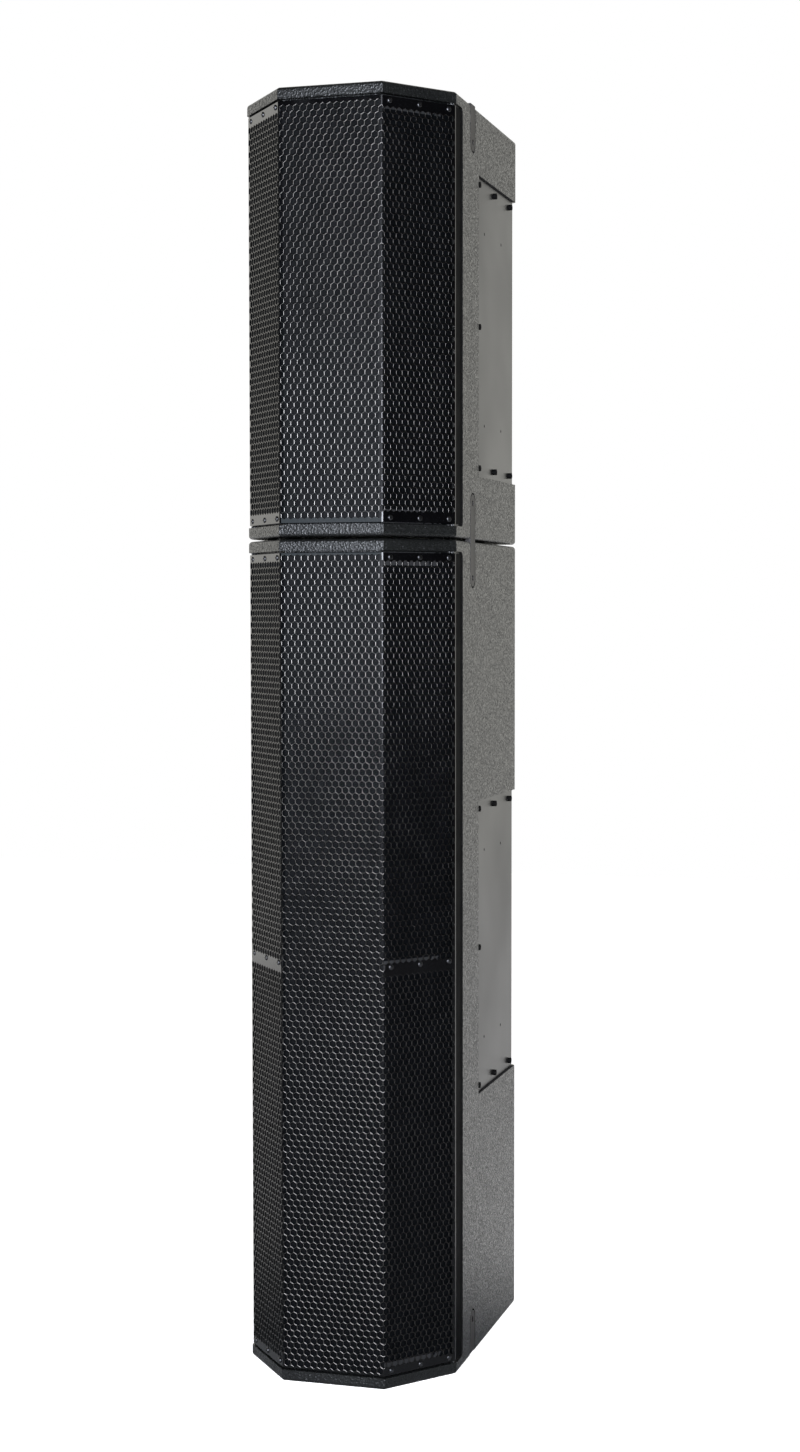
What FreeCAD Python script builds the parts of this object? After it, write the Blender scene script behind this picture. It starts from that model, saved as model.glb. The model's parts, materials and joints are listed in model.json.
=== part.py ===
"""Two-module column loudspeaker, in millimetres, +Z up.

Origin: centre of the plan at the floor.  -Y is the front, +Y the rear, +X the right-hand side seen
from the front.  A long module stands on the floor and a short one is linked on top of it.
"""
import FreeCAD, Part
import math
import os
from collections import namedtuple

V = FreeCAD.Vector

# ---------------------------------------------------------------- driving dimensions
# Column and cabinets
WIDTH = 302.0            # across the two sides
DEPTH = 450.0            # front facet to rear face
FRONT_FACET = 148.0      # width of the flat front
CHAMFER_DEPTH = 94.0     # how far the side corners stand behind the front facet
LONG_HEIGHT = 1162.0     # lower module
SHORT_HEIGHT = 605.0     # upper module
SEAM_GAP = 3.0           # held open by the pads between the modules
LONG_CELLS = 8           # driver rows in the lower module
SHORT_CELLS = 4          # driver rows in the upper module
PLY = 18.0               # plywood of the cabinets
RIM_R = 5.0              # rounding of every module's top and bottom rim
REAR_R = 6.0             # rounding of the rear vertical edges
FRONT_R = 1.5            # rounding of the front corners of the roof and the floor
BAND = 16.0              # part of the roof and floor edge that shows above and below the grille

# Grille
GRILLE_T = 2.0           # steel sheet
GRILLE_RECESS = 1.5      # its face behind the cabinet's face
GRILLE_END_GAP = 3.0     # between the grille's end and the band
GROOVE_DEPTH = 10.0      # groove behind that gap, from the cabinet's face
FLANGE_WIDTH = 33.0      # return flange along each side
FLANGE_GAP = 2.0         # between the flange's edge and the side's paint
FLANGE_R = 6.0           # rounding of the flange's free corners
FOLD_R = 5.0             # outer radius of the sheet's folds
STRIP = 17.0             # unperforated strip that carries the screws
SCREW_INSET = 12.2       # outer screws of a strip from its ends
SCREW_FROM_END = 6.0     # screw row from the grille's end
FOAM_T = 6.0             # acoustic foam behind the grille
FIT = 0.3                # clearance round pieces that drop into a place

# Small button screw of the grille
BUTTON_D = 7.7
BUTTON_H = 2.2
BUTTON_CROWN = 1.8       # rounding of the head
BUTTON_SHANK_D = 4.0
BUTTON_SHANK_L = 12.0
BUTTON_SOCKET = 2.5

# Baffle and internal plywood
BAFFLE_SETBACK = 24.0    # baffle face behind the cabinet's face
BAFFLE_T = 15.0
BRACE_T = 15.0
BRACE_WINDOW = 0.5       # window width as a share of the brace's width
BRACE_CELLS = 2          # driver rows between neighbouring braces
BRACE_CLEAR = 2.0        # round the waveguide
SHORT_BRACE_REACH = 150.0  # depth of the brace that stays clear of the electronics

# Cone drivers
FRAME_D = 100.0
FRAME_T = 4.0
THROAT_D = 84.0          # inside of the frame's collar
COLLAR_L = 8.0
BASKET_DEPTH = 38.0
BASKET_WALL = 2.0
WINDOWS = 4              # openings round a basket
MAGNET_D = 68.0
MAGNET_L = 22.0
PLATE_T = 5.0
POLE_D = 24.0
COIL_GAP = 2.2           # annular gap between pole and top plate
FORMER_WALL = 0.6
CONE_WALL = 1.2
CONE_D = 68.0
CONE_DEPTH = 18.0
ROLL_R = 3.2             # half roll of the surround
CONE_TRAVEL = 3.0        # each way
EDGE_GAP = 0.4           # surround to collar
DRIVER_SCREW_D = 4.0
DRIVER_SCREW_L = 14.0
DRIVER_SCREWS = 4

# High-frequency line
HORN_MOUTH = 104.0
HORN_THROAT = 32.0
HORN_LENGTH = 70.0
HORN_WALL = 3.0
HORN_CELLS = 4           # cells on one waveguide
SLOT_WIDTH = 14.0        # sound slot at the throat
HF_D = 56.0
HF_L = 32.0

# Link hardware
LINK_SETBACK = 91.0      # bar's centre line behind the side corner
BAR_WIDTH = 25.0
BAR_T = 8.0
BAR_GAP = 2.2            # slot wider than the bar on each side
SLOT_FLARE_R = 4.0       # rounding of the slot's mouth at a cabinet's end
LINK_BOLT_FROM_END = 51.0
BAR_PROUD = 1.0          # top half bars above the roof
BAR_LIFT = 4.5           # bottom half bars above the floor plane
BOLT_D = 12.0
BOLT_HEAD_D = 24.0
BOLT_HEAD_H = 6.0
BOLT_SOCKET = 8.0
BOLT_SOCKET_DEPTH = 4.0
BOLT_L = 26.0
INSERT_D = 16.0
INSERT_FLANGE_D = 30.0
INSERT_FLANGE_T = 3.0
THREAD_FIT = 0.05
PAD_D = 20.0
PAD_INSET_X = 45.0
PAD_INSET_Y = 60.0

# Rear chassis and its screws
CHASSIS_T = 3.0
CHASSIS_RECESS = 4.0     # its face below the paint
CHASSIS_START = 125.0    # recess edge behind the side corner
CHASSIS_HEIGHT = 422.0
CHASSIS_GAP = 1.0        # recess larger than the chassis
CHASSIS_BEND_R = 5.0
CAP_D = 8.5
CAP_H = 5.0
CAP_SHANK_D = 5.0
CAP_SHANK_L = 12.0
CAP_SOCKET = 4.0
CAP_FROM_EDGE = 11.0
CAP_FIRST = 7.0          # first screw from the recess edge
CAP_LAST = 32.0          # last screw from the rear face
REAR_CAP_INSET = 28.0    # rear screws from the cabinet's inner width
DOT_D = 4.5
DOT_L = 10.0
DOT_FIRST = 49.0         # small flush screws from the recess edge
DOT_LAST = 81.0          # and from the rear face
DOT_PITCH_Z = 274.0

# Connector tray
TRAY_MARGIN = 10.0       # between the tray and the service opening, at each side
TRAY_HEIGHT = 76.0
TRAY_DEPTH = 24.0
TRAY_T = 2.0
TRAY_FLANGE = 8.0
TRAY_DROP = 150.0        # tray centre below the chassis centre
PANEL_MARGIN = 3.0       # plain ends of the tray's row of items
SERVICE_INSET_X = 15.0   # service opening inside the cabinet's inner width
SERVICE_INSET_Z = 13.0   # and inside the chassis's height
SOCKET_FLANGE_W = 26.0
SOCKET_FLANGE_H = 31.0
SOCKET_FLANGE_T = 2.0
SOCKET_BARREL_D = 23.6
SOCKET_DEPTH = 22.0
SIGNAL_BORE_D = 19.2
SIGNAL_BORE_DEPTH = 14.0
PIN_D = 2.4
PIN_CIRCLE_R = 3.6
PIN_LENGTH = 9.0
MAINS_BORE_D = 20.6
MAINS_BORE_DEPTH = 16.0
SPIGOT_D = 9.0
SPIGOT_LENGTH = 9.0
TAB_W = 7.0
TAB_H = 3.0
TAB_L = 6.0
TAB_TRAVEL = 1.5
TAB_PROUD = 1.9
TAB_FIT = 0.3
SWITCH_W = 21.0
SWITCH_H = 27.0
SWITCH_RIM = 2.5
SWITCH_RIM_T = 2.0
SWITCH_DEPTH = 16.0
SWITCH_WALL = 1.8
ROCKER_FIT = 0.4
ROCKER_ANGLE = 10.0      # tilt each side of level
ROCKER_PROUD = 3.0
TRUNNION_D = 3.0
TRUNNION_L = 1.2
SHAFT_FIT = 0.05
KNOB_D = 18.0
KNOB_H = 13.0
KNOB_LIFT = 1.0
KNOB_FLUTES = 12
KNOB_FLUTE_R = 1.2
KNOB_SKIRT = 2.0         # plain foot below the flutes
KNOB_EDGE_R = 1.0
POINTER_W = 1.0
SHAFT_D = 6.0
SHAFT_L = 14.0
BUSH_D = 9.0
POT_SIZE = 17.0
POT_T = 9.0
LED_D = 4.0
LED_L = 8.0
LED_COLLAR_D = 6.0
LED_PROUD = 1.0
LED_EDGE_R = 0.8
LED_RISE = 20.0
LED_PITCH = 9.0

# Electronics
BOARD_WIDTH = 200.0
BOARD_HEIGHT = 124.0
BOARD_T = 1.6
CAPACITOR_D = 22.0
CAPACITOR_H = 30.0
SPREADER_W = 30.0
SPREADER_H = 25.0
TRANSFORMER_W = 60.0
TRANSFORMER_H = 40.0
CHOKE_W = 35.0
STANDOFF_D = 6.0
STANDOFF_L = 12.0
STANDOFF_INSET = 8.0
AMP_RISE = -20.0         # board centres from the chassis centre
SUPPLY_RISE = 118.0

# ---------------------------------------------------------------- values that follow
HALF = WIDTH / 2.0
FRONT_Y = -DEPTH / 2.0
REAR_Y = DEPTH / 2.0
CORNER_Y = FRONT_Y + CHAMFER_DEPTH
CHAMFER_ANGLE = math.atan2(CHAMFER_DEPTH, HALF - FRONT_FACET / 2.0)
CHAMFER_WIDTH = math.hypot(CHAMFER_DEPTH, HALF - FRONT_FACET / 2.0)
SCREW_PITCH = CHAMFER_WIDTH / 2.0 - SCREW_INSET
GRILLE_BACK = GRILLE_RECESS + GRILLE_T
GRILLE_END = BAND + GRILLE_END_GAP
LINK_Y = CORNER_Y + LINK_SETBACK
CHASSIS_Y = CORNER_Y + CHASSIS_START
CHASSIS_FACE = HALF - CHASSIS_RECESS
CHASSIS_BACK = REAR_Y - CHASSIS_RECESS
TRAY_FLOOR = CHASSIS_BACK - CHASSIS_T - TRAY_DEPTH
SERVICE_WIDTH = 2.0 * (HALF - PLY - SERVICE_INSET_X)
SERVICE_HEIGHT = CHASSIS_HEIGHT - 2.0 * SERVICE_INSET_Z
TRAY_WIDTH = SERVICE_WIDTH - 2.0 * TRAY_MARGIN
REAR_CAP_X = HALF - PLY - REAR_CAP_INSET
FAR = 4.0 * DEPTH

Module = namedtuple("Module", "name base height cells")
LOWER = Module("lower", 0.0, LONG_HEIGHT, LONG_CELLS)
UPPER = Module("upper", LONG_HEIGHT + SEAM_GAP, SHORT_HEIGHT, SHORT_CELLS)
MODULES = (LOWER, UPPER)
COLUMN_TOP = UPPER.base + UPPER.height


# ---------------------------------------------------------------- shape helpers
def box(x0, x1, y0, y1, z0, z1):
    return Part.makeBox(x1 - x0, y1 - y0, z1 - z0, V(x0, y0, z0))


def centred_box(x, y, z, width, depth, height):
    corner = V(x - width / 2.0, y - depth / 2.0, z - height / 2.0)
    return Part.makeBox(width, depth, height, corner)


def prism(points, z0, z1):
    corners = [V(x, y, z0) for x, y in points]
    face = Part.Face(Part.makePolygon(corners + corners[:1]))
    return face.extrude(V(0, 0, z1 - z0))


def revolved(profile):
    """Turns a closed (radius, height) outline round the local Z axis."""
    corners = [V(r, 0, z) for r, z in profile]
    face = Part.Face(Part.makePolygon(corners + corners[:1]))
    return face.revolve(V(0, 0, 0), V(0, 0, 1), 360)


def rod(diameter, length, start=V(0, 0, 0), axis=V(0, 0, 1)):
    return Part.makeCylinder(diameter / 2.0, length, start, axis)


def hexagon(across_flats, length, z0):
    radius = across_flats / math.sqrt(3.0)
    points = []
    for step in range(6):
        angle = math.radians(60.0 * step)
        points.append((radius * math.cos(angle), radius * math.sin(angle)))
    return prism(points, z0, z0 + length)


def fillet_vertical(shape, radius, keep):
    """Rounds the vertical edges whose plan position the keep test accepts."""
    edges = []
    for edge in shape.Edges:
        start, end = edge.Vertexes[0].Point, edge.Vertexes[-1].Point
        upright = abs(start.x - end.x) < 1e-6 and abs(start.y - end.y) < 1e-6
        if upright and keep(start):
            edges.append(edge)
    return shape.makeFillet(radius, edges)


def fillet_rim(shape, radius, level):
    """Rounds the edges that lie at one height."""
    edges = []
    for edge in shape.Edges:
        if all(abs(vertex.Z - level) < 1e-6 for vertex in edge.Vertexes):
            edges.append(edge)
    return shape.makeFillet(radius, edges)


def fillet_across(shape, radius, y):
    """Rounds the edges that run along X at one depth."""
    edges = []
    for edge in shape.Edges:
        start, end = edge.Vertexes[0].Point, edge.Vertexes[-1].Point
        crossing = abs(start.x - end.x) > 1e-6 and abs(start.z - end.z) < 1e-6
        if crossing and abs(start.y - y) < 1e-6 and abs(end.y - y) < 1e-6:
            edges.append(edge)
    return shape.makeFillet(radius, edges)


def group(solids):
    return Part.makeCompound(list(solids))


def mirrored(shape):
    return shape.mirror(V(0, 0, 0), V(1, 0, 0))


def both_sides(shape):
    return [shape, mirrored(shape)]


def cut_all(shape, tools):
    return shape.cut(Part.makeCompound(list(tools))) if tools else shape


def directed(origin, x_axis, y_axis):
    """Placement with the given origin and directions of the local X and Y axes."""
    z_axis = x_axis.cross(y_axis)
    matrix = FreeCAD.Matrix(
        x_axis.x, y_axis.x, z_axis.x, origin.x,
        x_axis.y, y_axis.y, z_axis.y, origin.y,
        x_axis.z, y_axis.z, z_axis.z, origin.z,
        0.0, 0.0, 0.0, 1.0,
    )
    return FreeCAD.Placement(matrix)


def placed_at(shape, placement):
    placed = shape.copy()
    placed.Placement = placement.multiply(placed.Placement)
    return placed


def box_between(low, high, z0, z1):
    """Both halves outside |x| = low and inside |x| = high."""
    return [box(low, high, -FAR, FAR, z0, z1), box(-high, -low, -FAR, FAR, z0, z1)]


# ---------------------------------------------------------------- plan and facets
def inset_plan(front, side, rear):
    """The six plan corners, with each kind of wall moved inwards by its own distance.

    Runs from the rear left corner round the front to the rear right corner.
    """
    slope = math.tan(CHAMFER_ANGLE)
    front_x = FRONT_FACET / 2.0 - front * math.tan(CHAMFER_ANGLE / 2.0)
    front_y = FRONT_Y + front
    side_x = HALF - side
    side_y = front_y + (side_x - front_x) * slope
    rear_y = REAR_Y - rear
    right = [(front_x, front_y), (side_x, side_y), (side_x, rear_y)]
    left = [(-x, y) for x, y in reversed(right)]
    return left + right


def front_shell(outer, outer_side, inner, inner_side, z0, z1, fold=0.0):
    """A wall between two insets of the front facets, open to the rear."""
    hull = prism(inset_plan(outer, outer_side, 0.0), z0, z1)
    if fold:
        hull = fillet_vertical(hull, fold, lambda point: abs(point.x) < HALF - PLY - fold)
    core = prism(inset_plan(inner, inner_side, -1.0), z0 - 1.0, z1 + 1.0)
    return hull.cut(core)


def chamfer_placement(side, front_inset, side_inset, height):
    """Local X runs along the right (+1) or left (-1) chamfer, Y is up and Z points outwards."""
    corners = [V(x, y, 0) for x, y in inset_plan(front_inset, side_inset, 0.0)]
    start, end = corners[3:5] if side > 0 else corners[1:3]
    along = (end - start).normalize()
    return directed((start + end) * 0.5 + V(0, 0, height), along, V(0, 0, 1))


def on_facet(shape, side, setback, height):
    return placed_at(shape, chamfer_placement(side, setback, PLY, height))


def backwards(shape, x, y, z):
    """Moves a shape made along local +Z so that it points to the rear, its local Y upwards."""
    return placed_at(shape, directed(V(x, y, z), V(-1, 0, 0), V(0, 0, 1)))


def sideways(shape, x, y, z):
    """Moves a shape made along local +Z so that it points to the right, its local Y upwards."""
    return placed_at(shape, directed(V(x, y, z), V(0, 1, 0), V(0, 0, 1)))


# ---------------------------------------------------------------- where things sit
def middle_of(module):
    return module.base + module.height / 2.0


def strip_levels(module):
    """Centre heights of the plain strips: both ends, and the middle of the long module."""
    inset = GRILLE_END + SCREW_FROM_END
    levels = [module.base + inset, module.base + module.height - inset]
    if module.cells > SHORT_CELLS:
        levels.append(middle_of(module))
    return levels


def rail_span(module, level):
    """Lower and upper end of the rail behind a strip."""
    if abs(level - middle_of(module)) < 1.0:
        return level - STRIP / 2.0, level + STRIP / 2.0
    if level < middle_of(module):
        return module.base + PLY, module.base + GRILLE_END + STRIP
    return module.base + module.height - GRILLE_END - STRIP, module.base + module.height - PLY


def cell_pitch(module):
    return (module.height - 2.0 * (GRILLE_END + STRIP)) / module.cells


def cell_levels(module):
    first = module.base + GRILLE_END + STRIP + cell_pitch(module) / 2.0
    return [first + step * cell_pitch(module) for step in range(module.cells)]


def chassis_span(module):
    middle = middle_of(module)
    return middle - CHASSIS_HEIGHT / 2.0, middle + CHASSIS_HEIGHT / 2.0


def tray_level(module):
    return middle_of(module) - TRAY_DROP


def link_bolt_levels():
    levels = []
    for module in MODULES:
        levels.append(module.base + LINK_BOLT_FROM_END)
        levels.append(module.base + module.height - LINK_BOLT_FROM_END)
    return levels


# ---------------------------------------------------------------- cabinets
def cabinet_block(z0, z1):
    """The full plan with its rear vertical edges rounded."""
    block = prism(inset_plan(0.0, 0.0, 0.0), z0, z1)
    return fillet_vertical(block, REAR_R, lambda point: point.y > REAR_Y - 1.0)


def link_slot(z0, z1, mouth, inward):
    """Slot of the right side from z0 to z1, round ended, flared where it leaves the cabinet at mouth."""
    half_width = BAR_WIDTH / 2.0 + BAR_GAP
    depth = BAR_T
    start = HALF - depth
    slot = box(start, HALF + 1.0, LINK_Y - half_width, LINK_Y + half_width, z0, z1)
    ends = [rod(2.0 * half_width, depth + 1.0, V(start, LINK_Y, z), V(1, 0, 0)) for z in (z0, z1)]
    wide = half_width + SLOT_FLARE_R
    levels = sorted((mouth, mouth + inward * SLOT_FLARE_R))
    flare = box(start, HALF + 1.0, LINK_Y - wide, LINK_Y + wide, levels[0], levels[1])
    corners = [
        rod(2.0 * SLOT_FLARE_R, depth + 1.0, V(start, LINK_Y + y, mouth + inward * SLOT_FLARE_R), V(1, 0, 0))
        for y in (-wide, wide)
    ]
    return slot.fuse(ends + [cut_all(flare, corners)])


def link_slots(module):
    reach = LINK_BOLT_FROM_END
    bottom = module.base
    top = module.base + module.height
    right = [
        link_slot(bottom - reach, bottom + reach, bottom, 1.0),
        link_slot(top - reach, top + reach, top, -1.0),
    ]
    return right + [mirrored(slot) for slot in right]


def flange_recess(module):
    """What the right side loses to the grille's return flange."""
    reach = CORNER_Y + FLANGE_WIDTH + FLANGE_GAP
    z0 = module.base + BAND
    z1 = module.base + module.height - BAND
    radius = FLANGE_R + FLANGE_GAP
    recess = box(HALF - GRILLE_BACK, HALF + 1.0, CORNER_Y - radius, reach, z0, z1)
    return fillet_across(recess, radius, reach)


def grille_core(z0, z1):
    """Everything behind the grille's inner face, rounded as its folds are."""
    core = prism(inset_plan(GRILLE_BACK, GRILLE_BACK, -1.0), z0, z1)
    return fillet_vertical(core, FOLD_R - GRILLE_T, lambda point: point.y < 0.0)


def end_panel(module, top):
    """Roof (top) or floor plywood, with a groove behind the gap at the grille's end."""
    low = module.base + module.height - PLY if top else module.base
    panel = cabinet_block(low, low + PLY)
    panel = fillet_vertical(panel, FRONT_R, lambda point: point.y < CORNER_Y + 1.0)
    rim = low + PLY if top else low
    panel = fillet_rim(panel, RIM_R, rim)
    z0, z1 = (low, low + PLY - BAND) if top else (low + BAND, low + PLY)
    groove = prism(inset_plan(-1.0, -1.0, -1.0), z0, z1)
    groove = groove.cut(prism(inset_plan(GROOVE_DEPTH, GRILLE_BACK, -1.0), z0, z1))
    groove = groove.common(box(-FAR, FAR, -FAR, CORNER_Y, z0, z1))
    return cut_all(panel, [groove] + both_sides(flange_recess(module)) + link_slots(module))


def chassis_pocket(module):
    """What the sides and the back lose to the chassis."""
    bottom, top = chassis_span(module)
    z0, z1 = bottom - CHASSIS_GAP, top + CHASSIS_GAP
    inner_x = CHASSIS_FACE - CHASSIS_T
    core = box(-inner_x, inner_x, -FAR, CHASSIS_BACK - CHASSIS_T, z0, z1)
    core = fillet_vertical(core, CHASSIS_BEND_R, lambda point: point.y > 0.0)
    return box(-FAR, FAR, CHASSIS_Y, FAR, z0, z1).cut(core)


def side_panel(module):
    """Right side plywood."""
    z0 = module.base + PLY
    z1 = module.base + module.height - PLY
    panel = cabinet_block(z0, z1).common(box(HALF - PLY, HALF, -FAR, FAR, z0, z1))
    panel = panel.common(prism(inset_plan(GRILLE_BACK + FIT, 0.0, 0.0), z0, z1))
    nose = box(0, FAR, -FAR, CORNER_Y + FOLD_R, z0, z1).cut(grille_core(z0, z1))
    tools = [nose, flange_recess(module), chassis_pocket(module)] + link_slots(module)
    tools += strip_screw_holes(module, THREAD_FIT)
    for level in link_bolt_levels():
        tools.append(rod(INSERT_D + 2.0 * THREAD_FIT, PLY, V(HALF - PLY, LINK_Y, level), V(1, 0, 0)))
    for y, z in side_screw_places(module):
        tools.append(rod(CAP_SHANK_D + 2.0 * THREAD_FIT, PLY, V(HALF - PLY, y, z), V(1, 0, 0)))
    for y, z in dot_places(module):
        tools.append(rod(DOT_D + 2.0 * THREAD_FIT, PLY, V(HALF - PLY, y, z), V(1, 0, 0)))
    return cut_all(panel, tools)


def back_panel(module):
    z0 = module.base + PLY
    z1 = module.base + module.height - PLY
    inner = HALF - PLY
    panel = box(-inner, inner, REAR_Y - PLY, REAR_Y, z0, z1)
    service = centred_box(0.0, REAR_Y, middle_of(module), SERVICE_WIDTH, 4.0 * PLY, SERVICE_HEIGHT)
    tools = [chassis_pocket(module), service]
    for x, z in rear_screw_places(module):
        tools.append(rod(CAP_SHANK_D + 2.0 * THREAD_FIT, 2.0 * PLY, V(x, REAR_Y - 2.0 * PLY, z), V(0, 1, 0)))
    return cut_all(panel, tools)


def baffle(module):
    """Three-facet plywood front with the holes for the drivers and the waveguides."""
    z0 = module.base + PLY
    z1 = module.base + module.height - PLY
    shell = front_shell(BAFFLE_SETBACK, PLY, BAFFLE_SETBACK + BAFFLE_T, PLY, z0, z1)
    tools = []
    hole = rod(THROAT_D + 2.0 * BASKET_WALL + 2.0 * FIT, 4.0 * BAFFLE_T, V(0, 0, -2.0 * BAFFLE_T))
    screw_holes = [
        rod(DRIVER_SCREW_D + 2.0 * THREAD_FIT, 2.0 * BAFFLE_T, V(x, y, -BAFFLE_T))
        for x, y in driver_screw_places()
    ]
    for level in cell_levels(module):
        for side in (-1, 1):
            tools.append(on_facet(hole, side, BAFFLE_SETBACK, level))
            tools.extend(on_facet(item, side, BAFFLE_SETBACK, level) for item in screw_holes)
    for low, high in horn_spans(module):
        tools.append(
            box(-horn_half_width(BAFFLE_T) - FIT, horn_half_width(BAFFLE_T) + FIT,
                -FAR, FRONT_Y + BAFFLE_SETBACK + BAFFLE_T + 1.0, low - FIT, high + FIT)
        )
    return cut_all(shell, tools)


def braces(module):
    """Windowed plywood shelves that tie the baffle, the sides and, where they reach it, the back."""
    inner = HALF - PLY
    start = BAFFLE_SETBACK + BAFFLE_T
    horn_back = FRONT_Y + BAFFLE_SETBACK + HORN_LENGTH
    middle = middle_of(module)
    shelves = [(middle, FRONT_Y + start + SHORT_BRACE_REACH)]
    if module.cells > SHORT_CELLS:
        offset = BRACE_CELLS * cell_pitch(module)
        shelves += [(middle + step * offset, REAR_Y - PLY) for step in (-1, 1)]
    notch = horn_half_width(BAFFLE_T) + BRACE_CLEAR
    window = BRACE_WINDOW * inner
    solids = []
    for level, rear in shelves:
        z0, z1 = level - BRACE_T / 2.0, level + BRACE_T / 2.0
        shelf = prism(inset_plan(start, PLY, 0.0), z0, z1)
        shelf = shelf.common(box(-inner, inner, -FAR, rear, z0, z1))
        horn_notch = box(-notch, notch, -FAR, horn_back + BRACE_CLEAR, z0, z1)
        opening = box(-window, window, horn_back + 2.0 * BRACE_T, rear - 2.0 * BRACE_T, z0, z1)
        solids.append(cut_all(shelf, [horn_notch, opening]))
    return group(solids)


# ---------------------------------------------------------------- grille
def strip_screw_places(module):
    """Placements at the grille's face of every grille screw."""
    places = []
    for level in strip_levels(module):
        for side in (-1, 1):
            frame = chamfer_placement(side, GRILLE_RECESS, GRILLE_RECESS, level)
            for step in (-1, 0, 1):
                shift = FreeCAD.Placement(V(step * SCREW_PITCH, 0, 0), FreeCAD.Rotation())
                places.append(frame.multiply(shift))
    return places


def strip_screw_holes(module, clearance):
    hole = rod(BUTTON_SHANK_D + 2.0 * clearance, 2.0 * BUTTON_SHANK_L, V(0, 0, -1.5 * BUTTON_SHANK_L))
    return [placed_at(hole, place) for place in strip_screw_places(module)]


def grille(module):
    """One folded sheet round the front facets, with a return flange along each side."""
    z0 = module.base + GRILLE_END
    z1 = module.base + module.height - GRILLE_END
    sheet = prism(inset_plan(GRILLE_RECESS, GRILLE_RECESS, 0.0), z0, z1)
    sheet = fillet_vertical(sheet, FOLD_R, lambda point: point.y < 0.0)
    sheet = sheet.cut(grille_core(z0, z1))
    reach = CORNER_Y + FLANGE_WIDTH
    sheet = sheet.common(fillet_across(box(-FAR, FAR, -FAR, reach, z0, z1), FLANGE_R, reach))
    return cut_all(sheet, strip_screw_holes(module, FIT))


def fold_x():
    """Half the width of the front facet on the grille's inner side."""
    return inset_plan(GRILLE_BACK, 0.0, 0.0)[3][0]


def grille_rails(module):
    """Battens behind the plain strips, between the baffle and the grille."""
    holes = strip_screw_holes(module, THREAD_FIT)
    solids = []
    for level in strip_levels(module):
        low, high = rail_span(module, level)
        ring = front_shell(GRILLE_BACK, PLY, BAFFLE_SETBACK, PLY, low, high, FOLD_R)
        ring = cut_all(ring, holes)
        solids += [ring.common(half) for half in box_between(fold_x(), FAR, low, high)]
    return solids


def grille_foam(module):
    """Foam sheet behind the grille, cut out round the battens."""
    z0 = module.base + PLY
    z1 = module.base + module.height - PLY
    sheet = front_shell(GRILLE_BACK, PLY, GRILLE_BACK + FOAM_T, PLY, z0, z1, FOLD_R)
    tools = []
    for level in strip_levels(module):
        low, high = rail_span(module, level)
        tools += box_between(fold_x(), FAR, low, high)
    return cut_all(sheet, tools)


def button_screw():
    """Button-head screw, its head's underside at the local origin and its head towards +Z."""
    head = fillet_rim(rod(BUTTON_D, BUTTON_H), BUTTON_CROWN, BUTTON_H)
    shank = rod(BUTTON_SHANK_D, BUTTON_SHANK_L, V(0, 0, -BUTTON_SHANK_L))
    return head.fuse(shank).cut(hexagon(BUTTON_SOCKET, BUTTON_H, BUTTON_H / 2.0)).removeSplitter()


# ---------------------------------------------------------------- cone drivers
def driver_screw_places():
    radius = (FRAME_D + THROAT_D) / 4.0 + BASKET_WALL / 2.0
    places = []
    for step in range(DRIVER_SCREWS):
        angle = math.radians(45.0 + 360.0 * step / DRIVER_SCREWS)
        places.append((radius * math.cos(angle), radius * math.sin(angle)))
    return places


def basket():
    """Pressed frame: flange on the baffle, collar, open cone and the seat of the magnet."""
    throat = THROAT_D / 2.0
    seat = MAGNET_D / 2.0 - BASKET_WALL
    hole = POLE_D / 2.0 + 2.0 * COIL_GAP
    profile = [
        (FRAME_D / 2.0, 0.0), (FRAME_D / 2.0, FRAME_T), (throat, FRAME_T), (throat, -COLLAR_L),
        (seat, -BASKET_DEPTH + BASKET_WALL), (hole, -BASKET_DEPTH + BASKET_WALL), (hole, -BASKET_DEPTH),
        (seat + BASKET_WALL, -BASKET_DEPTH), (throat + BASKET_WALL, -COLLAR_L), (throat + BASKET_WALL, 0.0),
    ]
    frame = revolved(profile)
    tools = []
    low = -BASKET_DEPTH + 3.0 * BASKET_WALL
    high = -COLLAR_L - 3.0 * BASKET_WALL
    for step in range(WINDOWS):
        window = centred_box(
            FRAME_D / 2.0, 0.0, (low + high) / 2.0, FRAME_D / 2.0, THROAT_D / 3.0, high - low
        )
        window.rotate(V(0, 0, 0), V(0, 0, 1), 360.0 * step / WINDOWS)
        tools.append(window)
    for x, y in driver_screw_places():
        tools.append(rod(DRIVER_SCREW_D + 2.0 * THREAD_FIT, 2.0 * FRAME_T, V(x, y, -FRAME_T / 2.0)))
    return cut_all(frame, tools)


def magnet():
    """Top plate, ring magnet and pole, with the annular gap for the voice coil."""
    pole = POLE_D / 2.0
    bore = pole + COIL_GAP
    top = -BASKET_DEPTH
    outer = MAGNET_D / 2.0
    inner = bore + PLATE_T
    back = top - MAGNET_L
    profile = [
        (0.0, top), (pole, top), (pole, back + PLATE_T), (inner, back + PLATE_T), (inner, top - PLATE_T),
        (bore, top - PLATE_T), (bore, top), (outer, top), (outer, back), (0.0, back),
    ]
    return revolved(profile)


def cone():
    """Cone with its dust cap and the voice-coil former that runs in the magnet's gap."""
    mean = (POLE_D + COIL_GAP) / 2.0
    inner = mean - FORMER_WALL / 2.0
    outer = mean + FORMER_WALL / 2.0
    rim = CONE_D / 2.0
    neck = -CONE_DEPTH
    tail = -BASKET_DEPTH - PLATE_T - CONE_TRAVEL
    cap = neck + CONE_DEPTH / 2.0
    profile = [
        (inner, tail), (outer, tail), (outer, neck), (rim, 0.0), (rim, CONE_WALL),
        (outer + CONE_WALL, neck + 2.0 * CONE_WALL), (0.0, cap), (0.0, cap - CONE_WALL), (inner, neck),
    ]
    return revolved(profile)


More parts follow.
